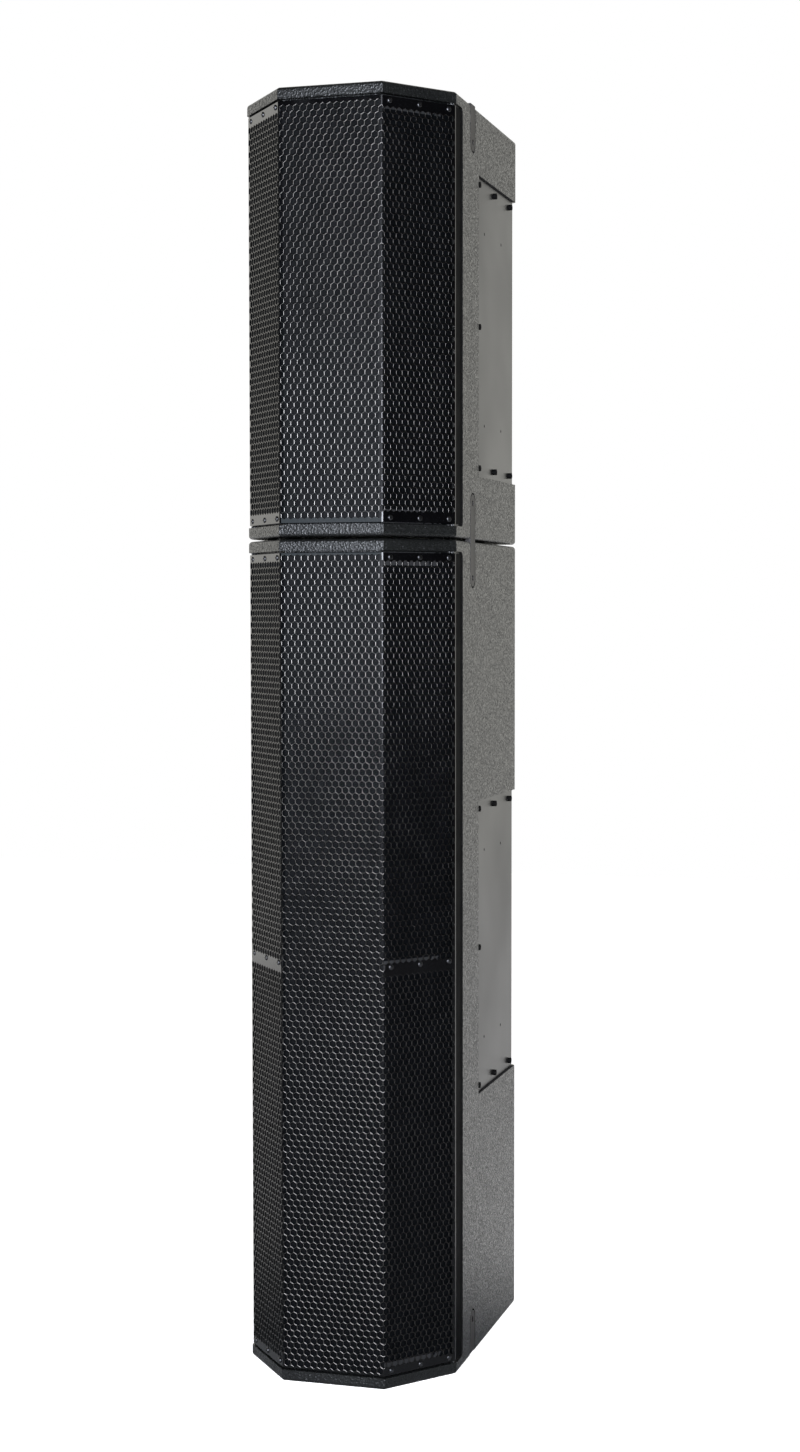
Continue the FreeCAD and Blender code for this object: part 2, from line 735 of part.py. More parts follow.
def surround():
    """Half-roll rubber edge between the cone's rim and the collar."""
    inner = CONE_D / 2.0
    outer = THROAT_D / 2.0 - EDGE_GAP
    middle = (inner + outer) / 2.0
    wall = CONE_WALL
    face = Part.Face(Part.Wire([
        Part.makeLine(V(inner, 0, 0), V(inner, 0, wall)),
        Part.makeLine(V(inner, 0, wall), V(middle - ROLL_R, 0, wall)),
        Part.Arc(
            V(middle - ROLL_R, 0, wall), V(middle, 0, wall + ROLL_R), V(middle + ROLL_R, 0, wall)
        ).toShape(),
        Part.makeLine(V(middle + ROLL_R, 0, wall), V(outer, 0, wall)),
        Part.makeLine(V(outer, 0, wall), V(outer, 0, 0)),
        Part.makeLine(V(outer, 0, 0), V(inner, 0, 0)),
    ]))
    return face.revolve(V(0, 0, 0), V(0, 0, 1), 360)


def driver_screw():
    head = rod(1.9 * DRIVER_SCREW_D, DRIVER_SCREW_D / 2.0, V(0, 0, FRAME_T))
    return head.fuse(rod(DRIVER_SCREW_D, DRIVER_SCREW_L, V(0, 0, FRAME_T - DRIVER_SCREW_L))).removeSplitter()


def on_cells(shape, module, sides=(-1, 1)):
    """One copy of a driver piece for each cell of the named chamfers."""
    return [on_facet(shape, side, BAFFLE_SETBACK, level) for level in cell_levels(module) for side in sides]


# ---------------------------------------------------------------- high-frequency line
def horn_half_width(depth):
    """Half the outer width of the waveguide at a depth behind its mouth."""
    return (HORN_MOUTH + (HORN_THROAT - HORN_MOUTH) * depth / HORN_LENGTH) / 2.0


def horn_spans(module):
    pitch = cell_pitch(module)
    levels = cell_levels(module)
    spans = []
    for first in range(0, module.cells, HORN_CELLS):
        last = min(first + HORN_CELLS, module.cells) - 1
        spans.append((levels[first] - pitch / 2.0 + HORN_WALL, levels[last] + pitch / 2.0 - HORN_WALL))
    return spans


def waveguide(low, high):
    """Flared horn on the front facet; its flange lies on the baffle."""
    mouth_y = FRONT_Y + BAFFLE_SETBACK
    throat_y = mouth_y + HORN_LENGTH
    wall = HORN_WALL
    slant = wall / math.cos(math.atan2(HORN_MOUTH - HORN_THROAT, 2.0 * HORN_LENGTH))
    outer = [
        (-horn_half_width(0.0), mouth_y), (horn_half_width(0.0), mouth_y),
        (HORN_THROAT / 2.0, throat_y), (-HORN_THROAT / 2.0, throat_y),
    ]
    mouth_half = horn_half_width(0.0) - slant
    front_y = mouth_y - 2.0 * wall
    inner = [
        (-mouth_half, front_y), (mouth_half, front_y),
        (SLOT_WIDTH / 2.0, throat_y - wall), (-SLOT_WIDTH / 2.0, throat_y - wall),
    ]
    throat_half = horn_half_width(BAFFLE_T)
    body = prism(outer, low, high).common(box(-throat_half, throat_half, -FAR, FAR, low, high))
    flange_half = inset_plan(BAFFLE_SETBACK, PLY, 0.0)[3][0] - FIT
    flange = box(-flange_half, flange_half, mouth_y - wall, mouth_y, low, high)
    flare = body.fuse(flange).cut(prism(inner, low + wall, high - wall))
    slot = centred_box(
        0.0, throat_y, (low + high) / 2.0, SLOT_WIDTH, 4.0 * wall, high - low - 4.0 * wall
    )
    return flare.cut(slot).removeSplitter()


def hf_driver(level):
    """Compression driver on the waveguide's throat, with its rear cap."""
    start = FRONT_Y + BAFFLE_SETBACK + HORN_LENGTH
    body = rod(HF_D, HF_L, V(0, start, level), V(0, 1, 0))
    throat = rod(SLOT_WIDTH, HF_L / 2.0, V(0, start, level), V(0, 1, 0))
    cap = rod(0.7 * HF_D, HF_L / 4.0, V(0, start + HF_L, level), V(0, 1, 0))
    return body.cut(throat).fuse(cap).removeSplitter()


# ---------------------------------------------------------------- link hardware
def stadium(z0, z1, thickness, width):
    """Upright flat bar with round ends centred on z0 and z1, its outer face on the right side."""
    bar = box(HALF - thickness, HALF, LINK_Y - width / 2.0, LINK_Y + width / 2.0, z0, z1)
    ends = [rod(width, thickness, V(HALF - thickness, LINK_Y, z), V(1, 0, 0)) for z in (z0, z1)]
    return bar.fuse(ends).removeSplitter()


def bolt_seat(level):
    """Countersunk hole for a link bolt."""
    head = Part.makeCone(
        BOLT_HEAD_D / 2.0 + THREAD_FIT, BOLT_D / 2.0 + THREAD_FIT, BOLT_HEAD_H,
        V(HALF, LINK_Y, level), V(-1, 0, 0),
    )
    return head.fuse(rod(BOLT_D + 2.0 * THREAD_FIT, 2.0 * BAR_T, V(HALF + 1.0, LINK_Y, level), V(-1, 0, 0)))


def link_bar():
    low = LOWER.base + LOWER.height - LINK_BOLT_FROM_END
    high = UPPER.base + LINK_BOLT_FROM_END
    return cut_all(stadium(low, high, BAR_T, BAR_WIDTH), [bolt_seat(low), bolt_seat(high)])


def end_bars():
    """Half bars at the column's foot and head, cut off straight at the module's end."""
    low_bolt = LOWER.base + LINK_BOLT_FROM_END
    high_bolt = COLUMN_TOP - LINK_BOLT_FROM_END
    whole_low = stadium(LOWER.base, low_bolt, BAR_T, BAR_WIDTH)
    whole_high = stadium(high_bolt, COLUMN_TOP, BAR_T, BAR_WIDTH)
    foot = whole_low.common(box(0, FAR, -FAR, FAR, LOWER.base + BAR_LIFT, FAR)).cut(bolt_seat(low_bolt))
    head = whole_high.common(box(0, FAR, -FAR, FAR, 0, COLUMN_TOP + BAR_PROUD)).cut(bolt_seat(high_bolt))
    return [foot, head]


def link_bolt(level):
    """Countersunk bolt with a hexagon socket, its head flush with the bar."""
    head = Part.makeCone(BOLT_HEAD_D / 2.0, BOLT_D / 2.0, BOLT_HEAD_H)
    shank = rod(BOLT_D, BOLT_L - BOLT_HEAD_H, V(0, 0, BOLT_HEAD_H))
    bolt = head.fuse(shank).cut(hexagon(BOLT_SOCKET, BOLT_SOCKET_DEPTH, 0.0)).removeSplitter()
    bolt.Placement = FreeCAD.Placement(V(HALF, LINK_Y, level), FreeCAD.Rotation(V(0, 1, 0), -90.0))
    return bolt


def link_insert(level):
    """Threaded insert: a barrel through the plywood and a flange behind it."""
    barrel_start = HALF - PLY
    barrel = rod(INSERT_D, PLY - BAR_T, V(barrel_start, LINK_Y, level), V(1, 0, 0))
    flange_start = V(barrel_start - INSERT_FLANGE_T, LINK_Y, level)
    flange = rod(INSERT_FLANGE_D, INSERT_FLANGE_T, flange_start, V(1, 0, 0))
    bore = rod(BOLT_D + 2.0 * THREAD_FIT, 2.0 * PLY, V(barrel_start - PLY, LINK_Y, level), V(1, 0, 0))
    return barrel.fuse(flange).cut(bore).removeSplitter()


def seam_pads():
    pads = []
    for x in (PAD_INSET_X - HALF, HALF - PAD_INSET_X):
        for y in (CORNER_Y + PAD_INSET_Y, REAR_Y - PAD_INSET_Y):
            pads.append(rod(PAD_D, SEAM_GAP, V(x, y, LOWER.height)))
    return pads


# ---------------------------------------------------------------- rear chassis
def side_screw_places(module):
    bottom, top = chassis_span(module)
    first = CHASSIS_Y + CAP_FIRST
    last = REAR_Y - CAP_LAST
    levels = (bottom + CAP_FROM_EDGE, top - CAP_FROM_EDGE)
    places = [(y, z) for y in (first, (first + last) / 2.0, last) for z in levels]
    return places + [(first, middle_of(module))]


def rear_screw_places(module):
    bottom, top = chassis_span(module)
    levels = (bottom + CAP_FROM_EDGE, top - CAP_FROM_EDGE)
    return [(x, z) for x in (-REAR_CAP_X, 0.0, REAR_CAP_X) for z in levels]


def dot_places(module):
    middle = middle_of(module)
    levels = (middle - DOT_PITCH_Z / 2.0, middle + DOT_PITCH_Z / 2.0)
    return [(y, z) for y in (CHASSIS_Y + DOT_FIRST, REAR_Y - DOT_LAST) for z in levels]


def chassis(module):
    """U-shaped aluminium sheet let into the sides and the back."""
    bottom, top = chassis_span(module)
    outer = box(-CHASSIS_FACE, CHASSIS_FACE, CHASSIS_Y + CHASSIS_GAP, CHASSIS_BACK, bottom, top)
    outer = fillet_vertical(outer, CHASSIS_BEND_R, lambda point: point.y > CHASSIS_BACK - 1.0)
    inner_x = CHASSIS_FACE - CHASSIS_T
    inner = box(-inner_x, inner_x, -FAR, CHASSIS_BACK - CHASSIS_T, bottom, top)
    inner = fillet_vertical(inner, CHASSIS_BEND_R - CHASSIS_T, lambda point: point.y > 0.0)
    sheet = outer.cut(inner)
    window = centred_box(0.0, CHASSIS_BACK, tray_level(module), TRAY_WIDTH, 6.0 * CHASSIS_T, TRAY_HEIGHT)
    tools = [window]
    for y, z in side_screw_places(module):
        tools.append(rod(CAP_SHANK_D + 2.0 * FIT, 2.0 * WIDTH, V(-WIDTH, y, z), V(1, 0, 0)))
    for y, z in dot_places(module):
        tools.append(rod(DOT_D + 2.0 * THREAD_FIT, 2.0 * WIDTH, V(-WIDTH, y, z), V(1, 0, 0)))
    for x, z in rear_screw_places(module):
        tools.append(rod(CAP_SHANK_D + 2.0 * FIT, 2.0 * PLY, V(x, REAR_Y - PLY, z), V(0, 1, 0)))
    return cut_all(sheet, tools)


def cap_screw():
    """Socket-head cap screw, its head's underside at the local origin and its head towards +Z."""
    head = rod(CAP_D, CAP_H).fuse(rod(CAP_SHANK_D, CAP_SHANK_L, V(0, 0, -CAP_SHANK_L)))
    return head.cut(hexagon(CAP_SOCKET, CAP_H, CAP_H / 2.0)).removeSplitter()


def chassis_screws():
    solids = []
    for module in MODULES:
        for y, z in side_screw_places(module):
            solids += both_sides(sideways(cap_screw(), CHASSIS_FACE, y, z))
        for x, z in rear_screw_places(module):
            solids.append(backwards(cap_screw(), x, CHASSIS_BACK, z))
    return solids


def chassis_dots():
    """Small flush screws of the wings."""
    dot = rod(DOT_D, DOT_L, V(0, 0, -DOT_L)).cut(hexagon(DOT_D / 2.0, 1.0, -1.0))
    solids = []
    for module in MODULES:
        for y, z in dot_places(module):
            solids += both_sides(sideways(dot, CHASSIS_FACE, y, z))
    return solids


# ---------------------------------------------------------------- connector tray
PANEL_ITEMS = ("mains_in", "mains_link", "switch", "knob", "signal_in", "signal_link")


def panel_x(item):
    """Places the items side by side, each in an equal share of the tray's width."""
    pitch = (TRAY_WIDTH - 2.0 * PANEL_MARGIN) / len(PANEL_ITEMS)
    return (PANEL_ITEMS.index(item) - (len(PANEL_ITEMS) - 1) / 2.0) * pitch


def led_places(module):
    level = tray_level(module) + LED_RISE
    return [(panel_x("knob") + step * LED_PITCH, level) for step in (-1, 0, 1)]


def tray(module):
    """Pressed pan behind the chassis window, with a flange round its mouth."""
    level = tray_level(module)
    mouth = CHASSIS_BACK - CHASSIS_T
    depth = mouth - TRAY_FLOOR + TRAY_T
    middle = mouth - depth / 2.0
    pan = centred_box(0.0, middle, level, TRAY_WIDTH, depth, TRAY_HEIGHT)
    rim_w = TRAY_WIDTH + 2.0 * TRAY_FLANGE
    rim_h = TRAY_HEIGHT + 2.0 * TRAY_FLANGE
    rim = centred_box(0.0, mouth - TRAY_T / 2.0, level, rim_w, TRAY_T, rim_h)
    hollow_w = TRAY_WIDTH - 2.0 * TRAY_T
    hollow_h = TRAY_HEIGHT - 2.0 * TRAY_T
    hollow = centred_box(0.0, TRAY_FLOOR + depth, level, hollow_w, 2.0 * depth, hollow_h)
    tools = [hollow]
    below = TRAY_FLOOR - 2.0 * TRAY_T
    for item in ("mains_in", "mains_link", "signal_in", "signal_link"):
        start = V(panel_x(item), below, level)
        tools.append(rod(SOCKET_BARREL_D + 2.0 * FIT, 4.0 * TRAY_T, start, V(0, 1, 0)))
    tools.append(centred_box(
        panel_x("switch"), TRAY_FLOOR, level, SWITCH_W + 2.0 * FIT, 4.0 * TRAY_T, SWITCH_H + 2.0 * FIT
    ))
    tools.append(centred_box(
        panel_x("signal_in"), TRAY_FLOOR, level + tab_rise(),
        TAB_W + 2.0 * TAB_FIT, 4.0 * TRAY_T, TAB_H + 2.0 * TAB_FIT
    ))
    tools.append(rod(BUSH_D + 2.0 * FIT, 4.0 * TRAY_T, V(panel_x("knob"), below, level), V(0, 1, 0)))
    for x, z in led_places(module):
        tools.append(rod(LED_D + 2.0 * THREAD_FIT, 4.0 * TRAY_T, V(x, below, z), V(0, 1, 0)))
    return cut_all(pan.fuse(rim), tools).removeSplitter()


def socket_shell(bore_diameter, bore_depth):
    """Round panel socket with a rectangular flange; its mouth faces local +Z, flange seat at zero."""
    flange = centred_box(0.0, 0.0, SOCKET_FLANGE_T / 2.0, SOCKET_FLANGE_W, SOCKET_FLANGE_H, SOCKET_FLANGE_T)
    barrel = rod(SOCKET_BARREL_D, SOCKET_DEPTH, V(0, 0, -SOCKET_DEPTH + SOCKET_FLANGE_T / 2.0))
    bore = rod(bore_diameter, bore_depth + 1.0, V(0, 0, SOCKET_FLANGE_T - bore_depth))
    return flange.fuse(barrel).cut(bore)


def pin_places():
    return [
        (PIN_CIRCLE_R * math.cos(math.radians(angle)), PIN_CIRCLE_R * math.sin(math.radians(angle)))
        for angle in (30.0, 150.0, 270.0)
    ]


def tab_rise():
    return SIGNAL_BORE_D / 2.0 + TAB_H / 2.0 + 2.0 * TAB_FIT


def signal_input():
    floor = SOCKET_FLANGE_T - SIGNAL_BORE_DEPTH
    shell = socket_shell(SIGNAL_BORE_D, SIGNAL_BORE_DEPTH)
    holes = [rod(PIN_D, SOCKET_DEPTH, V(x, y, floor - PIN_LENGTH + 1.0)) for x, y in pin_places()]
    pocket = centred_box(
        0.0, tab_rise(), SOCKET_FLANGE_T, TAB_W + 2.0 * TAB_FIT, TAB_H + 2.0 * TAB_FIT,
        2.0 * (TAB_L - TAB_PROUD + TAB_TRAVEL + TAB_FIT)
    )
    return cut_all(shell, holes + [pocket])


def signal_output():
    floor = SOCKET_FLANGE_T - SIGNAL_BORE_DEPTH
    shell = socket_shell(SIGNAL_BORE_D, SIGNAL_BORE_DEPTH)
    pins = [rod(PIN_D, PIN_LENGTH + 1.0, V(x, y, floor - 1.0)) for x, y in pin_places()]
    return shell.fuse(pins)


def mains_socket():
    """Round twist-lock socket with a central spigot and two key slots."""
    shell = socket_shell(MAINS_BORE_D, MAINS_BORE_DEPTH)
    floor = SOCKET_FLANGE_T - MAINS_BORE_DEPTH
    spigot = rod(SPIGOT_D, SPIGOT_LENGTH + 1.0, V(0, 0, floor - 1.0))
    return shell.fuse(spigot)


def latch_tab():
    """Push tab of the signal input; it stands proud of the flange at rest."""
    top = SOCKET_FLANGE_T + TAB_PROUD
    return centred_box(0.0, tab_rise(), top - TAB_L / 2.0, TAB_W, TAB_H, TAB_L)


def switch_frame():
    """Snap-in frame with the two bearings of the rocker; its seat is at local zero."""
    rim = centred_box(
        0.0, 0.0, SWITCH_RIM_T / 2.0, SWITCH_W + 2.0 * SWITCH_RIM, SWITCH_H + 2.0 * SWITCH_RIM, SWITCH_RIM_T
    )
    body = centred_box(0.0, 0.0, SWITCH_RIM_T / 2.0 - SWITCH_DEPTH / 2.0, SWITCH_W, SWITCH_H, SWITCH_DEPTH)
    hollow_w = SWITCH_W - 2.0 * SWITCH_WALL
    hollow_h = SWITCH_H - 2.0 * SWITCH_WALL
    hollow = centred_box(0.0, 0.0, SWITCH_RIM_T, hollow_w, hollow_h, 2.0 * (SWITCH_DEPTH - SWITCH_WALL))
    bearing = rod(
        TRUNNION_D + 2.0 * SHAFT_FIT, SWITCH_W - 2.0 * SWITCH_WALL + 2.0 * (TRUNNION_L + FIT),
        V(-(SWITCH_W / 2.0 - SWITCH_WALL + TRUNNION_L + FIT), 0, 0), V(1, 0, 0)
    )
    return rim.fuse(body).cut(hollow).cut(bearing).removeSplitter()


def rocker():
    """Two-way rocker with its trunnions, tilted to the off position."""
    half_w = SWITCH_W / 2.0 - SWITCH_WALL - ROCKER_FIT
    half_h = SWITCH_H / 2.0 - SWITCH_WALL - 2.0 * ROCKER_FIT
    top = SWITCH_RIM_T + ROCKER_PROUD
    dish = ROCKER_PROUD / 2.0
    outline = Part.Face(Part.Wire([
        Part.Arc(V(-half_w, -half_h, top), V(-half_w, 0, top - dish), V(-half_w, half_h, top)).toShape(),
        Part.makeLine(V(-half_w, half_h, top), V(-half_w, half_h * 0.8, -top)),
        Part.makeLine(V(-half_w, half_h * 0.8, -top), V(-half_w, -half_h * 0.8, -top)),
        Part.makeLine(V(-half_w, -half_h * 0.8, -top), V(-half_w, -half_h, top)),
    ]))
    body = outline.extrude(V(2.0 * half_w, 0, 0))
    reach = SWITCH_W / 2.0 - SWITCH_WALL + TRUNNION_L
    trunnions = rod(TRUNNION_D, 2.0 * reach, V(-reach, 0, 0), V(1, 0, 0))
    whole = body.fuse(trunnions).removeSplitter()
    whole.rotate(V(0, 0, 0), V(1, 0, 0), ROCKER_ANGLE)
    return whole


def level_pot():
    """Rotary control: body behind the tray and bush through it, bored for the knob's shaft."""
    seat = -TRAY_T
    body = centred_box(0.0, 0.0, seat - POT_T / 2.0, POT_SIZE, POT_SIZE, POT_T)
    bush = rod(BUSH_D, TRAY_T + FIT, V(0, 0, seat))
    bore = rod(SHAFT_D + 2.0 * SHAFT_FIT, SHAFT_L + KNOB_LIFT, V(0, 0, -SHAFT_L + KNOB_LIFT - FIT))
    return body.fuse(bush).cut(bore).removeSplitter()


def level_knob():
    """Fluted knob with its shaft and a pointer groove."""
    grip = fillet_rim(rod(KNOB_D, KNOB_H, V(0, 0, KNOB_LIFT)), KNOB_EDGE_R, KNOB_LIFT + KNOB_H)
    tools = []
    for step in range(KNOB_FLUTES):
        angle = 2.0 * math.pi * step / KNOB_FLUTES
        x = KNOB_D / 2.0 * math.cos(angle)
        y = KNOB_D / 2.0 * math.sin(angle)
        tools.append(rod(2.0 * KNOB_FLUTE_R, KNOB_H, V(x, y, KNOB_LIFT + KNOB_SKIRT)))
    pointer = centred_box(0.0, KNOB_D / 3.0, KNOB_LIFT + KNOB_H, POINTER_W, KNOB_D / 2.0, POINTER_W)
    shaft = rod(SHAFT_D, SHAFT_L, V(0, 0, KNOB_LIFT - SHAFT_L))
    return cut_all(grip, tools + [pointer]).fuse(shaft).removeSplitter()


def indicator():
    """Light pipe with a domed face just proud of the tray."""
    start = V(0, 0, LED_PROUD - LED_L)
    pipe = fillet_rim(rod(LED_D, LED_L, start), LED_EDGE_R, LED_PROUD)
    return pipe.fuse(rod(LED_COLLAR_D, LED_L - LED_PROUD - TRAY_T, start)).removeSplitter()


def on_panel(shape, module, item):
    return backwards(shape, panel_x(item), TRAY_FLOOR, tray_level(module))


# ---------------------------------------------------------------- electronics
def board(level, blocks):
    """Circuit board on the standoffs, its components facing the front."""
    back = CHASSIS_BACK - CHASSIS_T - STANDOFF_L
    plate = box(-BOARD_WIDTH / 2.0, BOARD_WIDTH / 2.0, back - BOARD_T, back,
                level - BOARD_HEIGHT / 2.0, level + BOARD_HEIGHT / 2.0)
    parts = [
        centred_box(x, back - BOARD_T - height / 2.0, level + z, width, height, tall)
        for x, z, width, tall, height in blocks
    ]
    return plate.fuse(parts).removeSplitter()


def amplifier_board(module):
    """Four reservoir capacitors above the heat spreader of the output stage."""
    half = BOARD_WIDTH / 2.0
    rise = BOARD_HEIGHT / 4.0
    capacitors = [(x * half, rise, CAPACITOR_D, CAPACITOR_D, CAPACITOR_H) for x in (-0.6, -0.2, 0.2, 0.6)]
    spreader = [(0.0, -rise, 1.5 * half, SPREADER_W, SPREADER_H)]
    return board(middle_of(module) + AMP_RISE, capacitors + spreader)


def power_supply(module):
    """Transformer, input choke and filter block."""
    half = BOARD_WIDTH / 2.0
    rise = BOARD_HEIGHT / 5.0
    blocks = [
        (-0.5 * half, 0.0, TRANSFORMER_W, TRANSFORMER_W, TRANSFORMER_H),
        (0.3 * half, rise, CHOKE_W, CHOKE_W, CHOKE_W),
        (0.7 * half, -rise, CAPACITOR_D, CHOKE_W, CAPACITOR_H),
    ]
    return board(middle_of(module) + SUPPLY_RISE, blocks)


def standoffs(module):
    posts = []
    back = CHASSIS_BACK - CHASSIS_T - STANDOFF_L
    half_w = BOARD_WIDTH / 2.0 - STANDOFF_INSET
    half_h = BOARD_HEIGHT / 2.0 - STANDOFF_INSET
    for rise in (AMP_RISE, SUPPLY_RISE):
        level = middle_of(module) + rise
        for x in (-half_w, half_w):
            for z in (-half_h, half_h):
                posts.append(rod(STANDOFF_D, STANDOFF_L, V(x, back, level + z), V(0, 1, 0)))
    return posts


# ---------------------------------------------------------------- assembly
def module_nodes(module):
    """Pieces of one cabinet, by node name."""
    side = side_panel(module)
    name = module.name
    nodes = {
        "floor_panel": end_panel(module, top=False),
        "roof_panel": end_panel(module, top=True),
        "right_side": side,
        "left_side": mirrored(side),
        "back_panel": back_panel(module),
        "baffle": baffle(module),
        "braces": braces(module),
        "grille": grille(module),
        "grille_foam": grille_foam(module),
        "waveguides": group(waveguide(low, high) for low, high in horn_spans(module)),
        "chassis": chassis(module),
        "connector_tray": tray(module),
        "latch_tab": on_panel(latch_tab(), module, "signal_in"),
        "power_rocker": on_panel(rocker(), module, "switch"),
        "level_knob": on_panel(level_knob(), module, "knob"),
    }
    for side_name, side in (("left", -1), ("right", 1)):
        nodes[side_name + "_cones"] = group(on_cells(cone(), module, (side,)))
        nodes[side_name + "_surrounds"] = group(on_cells(surround(), module, (side,)))
    return {name + "_" + key: shape for key, shape in nodes.items()}


def over_modules(make):
    """One group from a function that lists the solids of one module."""
    return group(solid for module in MODULES for solid in make(module))


def shared_nodes():
    """Like pieces of both modules, and what joins the modules."""
    bolts = [link_bolt(level) for level in link_bolt_levels()]
    inserts = [link_insert(level) for level in link_bolt_levels()]
    ends = end_bars()
    return {
        "woofer_baskets": over_modules(lambda module: on_cells(basket(), module)),
        "woofer_magnets": over_modules(lambda module: on_cells(magnet(), module)),
        "woofer_screws": over_modules(woofer_screws),
        "hf_drivers": over_modules(lambda module: [hf_driver(level) for level in cell_levels(module)]),
        "grille_rails": over_modules(grille_rails),
        "grille_screws": over_modules(grille_screws),
        "link_bars": group(both_sides(link_bar())),
        "end_bars": group(ends + [mirrored(bar) for bar in ends]),
        "link_bolts": group(bolts + [mirrored(bolt) for bolt in bolts]),
        "link_inserts": group(inserts + [mirrored(insert) for insert in inserts]),
        "seam_pads": group(seam_pads()),
        "chassis_screws": group(chassis_screws()),
        "chassis_dots": group(chassis_dots()),
        "signal_sockets": over_modules(lambda module: [
            on_panel(signal_input(), module, "signal_in"), on_panel(signal_output(), module, "signal_link"),
        ]),
        "mains_sockets": over_modules(lambda module: [
            on_panel(mains_socket(), module, "mains_in"), on_panel(mains_socket(), module, "mains_link"),
        ]),
        "switch_frames": over_modules(lambda module: [on_panel(switch_frame(), module, "switch")]),
        "level_controls": over_modules(lambda module: [on_panel(level_pot(), module, "knob")]),
        "indicators": over_modules(lambda module: [
            backwards(indicator(), x, TRAY_FLOOR, z) for x, z in led_places(module)
        ]),
        "amplifier_boards": over_modules(lambda module: [amplifier_board(module)]),
        "power_supplies": over_modules(lambda module: [power_supply(module)]),
        "board_standoffs": over_modules(standoffs),
    }


def woofer_screws(module):
    screw = driver_screw()
    shifted = []
    for x, y in driver_screw_places():
        copy = screw.copy()
        copy.translate(V(x, y, 0))
        shifted += on_cells(copy, module)
    return shifted


def grille_screws(module):
    return [placed_at(button_screw(), place) for place in strip_screw_places(module)]


def main():
    os.makedirs("parts", exist_ok=True)
    nodes = shared_nodes()
    for module in MODULES:
        nodes.update(module_nodes(module))
    for name, shape in nodes.items():
        shape.exportStep("parts/" + name + ".step")
    print(len(nodes), "nodes, column height", COLUMN_TOP)


main()
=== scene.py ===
"""Dresses the column loudspeaker: two stacked cabinets behind folded perforated grilles, in metres."""

import json
import math

import bmesh
import bpy
from mathutils import Matrix, Vector


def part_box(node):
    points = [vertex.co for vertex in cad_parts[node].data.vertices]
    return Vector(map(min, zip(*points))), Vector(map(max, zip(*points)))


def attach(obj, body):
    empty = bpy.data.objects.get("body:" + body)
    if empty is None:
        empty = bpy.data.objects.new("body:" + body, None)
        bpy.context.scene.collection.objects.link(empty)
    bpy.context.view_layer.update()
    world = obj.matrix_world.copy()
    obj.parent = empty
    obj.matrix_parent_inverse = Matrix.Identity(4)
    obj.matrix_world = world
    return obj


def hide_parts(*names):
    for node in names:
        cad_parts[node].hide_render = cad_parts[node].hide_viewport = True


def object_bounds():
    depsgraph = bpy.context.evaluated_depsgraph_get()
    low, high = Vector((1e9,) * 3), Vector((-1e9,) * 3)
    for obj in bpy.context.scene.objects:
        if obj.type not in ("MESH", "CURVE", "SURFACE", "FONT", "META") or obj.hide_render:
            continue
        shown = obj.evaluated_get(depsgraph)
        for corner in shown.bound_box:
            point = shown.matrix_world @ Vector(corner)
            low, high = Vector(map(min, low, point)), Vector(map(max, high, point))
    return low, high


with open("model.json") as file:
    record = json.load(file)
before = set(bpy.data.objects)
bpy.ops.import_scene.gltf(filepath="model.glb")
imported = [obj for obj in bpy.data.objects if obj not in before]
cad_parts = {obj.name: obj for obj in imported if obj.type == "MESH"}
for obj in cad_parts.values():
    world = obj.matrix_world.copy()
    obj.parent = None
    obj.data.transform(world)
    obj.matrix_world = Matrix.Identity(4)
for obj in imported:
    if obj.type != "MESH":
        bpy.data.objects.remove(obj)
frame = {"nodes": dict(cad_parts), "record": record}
cad_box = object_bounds()

MM = 0.001
MODULES = ("lower", "upper")

# The grille's folded sheet, repeated from the part's source.
FRONT_FACET = 148 * MM        # width of the cabinet's front
CHAMFER_DEPTH = 94 * MM       # front to the start of the sides
SHEET_T = 2 * MM
FOLD_R = 5 * MM               # outer radius of the folds
FLANGE_R = 6 * MM             # rounding of the flange's free corners
HOLE_PITCH = 9.57 * MM        # centre to centre, in all three directions of the honeycomb
HOLE_WIDTH = 8.2 * MM         # between a hole's flat sides
ROW_PITCH = HOLE_PITCH * math.sqrt(3) / 2
ROLLED_EDGE = 0.4 * MM        # rounding of every hole's edge on the front
# How far that rounding has turned where it starts and where it ends.
EDGE_TURN = [math.radians(a) for a in (6, 32)]
# The sheet's own material slots, in the order in which its materials are added.
COAT_SLOT, EDGE_SLOT, WALL_SLOT, FLANGE_SLOT = range(4)
# Places of the front's fold, the side's fold and the flange among the runs that folded_section gives.
FRONT_FOLD, SIDE_FOLD, FLANGE = 1, 3, 4
FOLD_SHARES = (0, 1 / 3, 2 / 3, 1)    # where each fold is cut, so that it can bend
CORNER_STEPS = 6              # steps in which a flange's free corner is rounded
SAME = 1e-6                   # two lengths closer than this are the same
ON_RUN = 1e-9                 # a point this little short of a run is on it
ON_CUT = 1e-7                 # and a corner this near a cut is on the cut
FACE_ALONG = 0.5              # a face that turns along the sheet's facing by more than this isn't on its rim

FOAM_COLUMNS = 80             # of the foam's mesh, from side to side
FOAM_LEVEL = 4 * MM           # height of one row of the foam's mesh
FOAM_GAP = 0.6 * MM           # from the sheet's back to the foam's face
FOAM_BACK = 5.5 * MM          # from the sheet's back to the foam's back
FOAM_UNEVEN = 0.3 * MM        # how far the foam's face swells and sinks
FOAM_INSET = 2 * MM           # the foam's edge before the side fold

# From the column to the studio's backdrop, in plan.
TO_BACKDROP = (-0.277, 0.961, 0.0)


# ---------------------------------------------------------------- materials


PAINTED_SLOT_SHADE = "060606"             # painted shade: matt black put on the walls of slots and rebates, where shade falls
SIDE_REAR_EDGE = 8 * MM       # the sides' rounded rear edge, which has its full paint
PAINTED_SHADE_ACROSS = 0.3           # a face that turns to the side by less than this is the wall of a slot or rebate, which gets painted shade
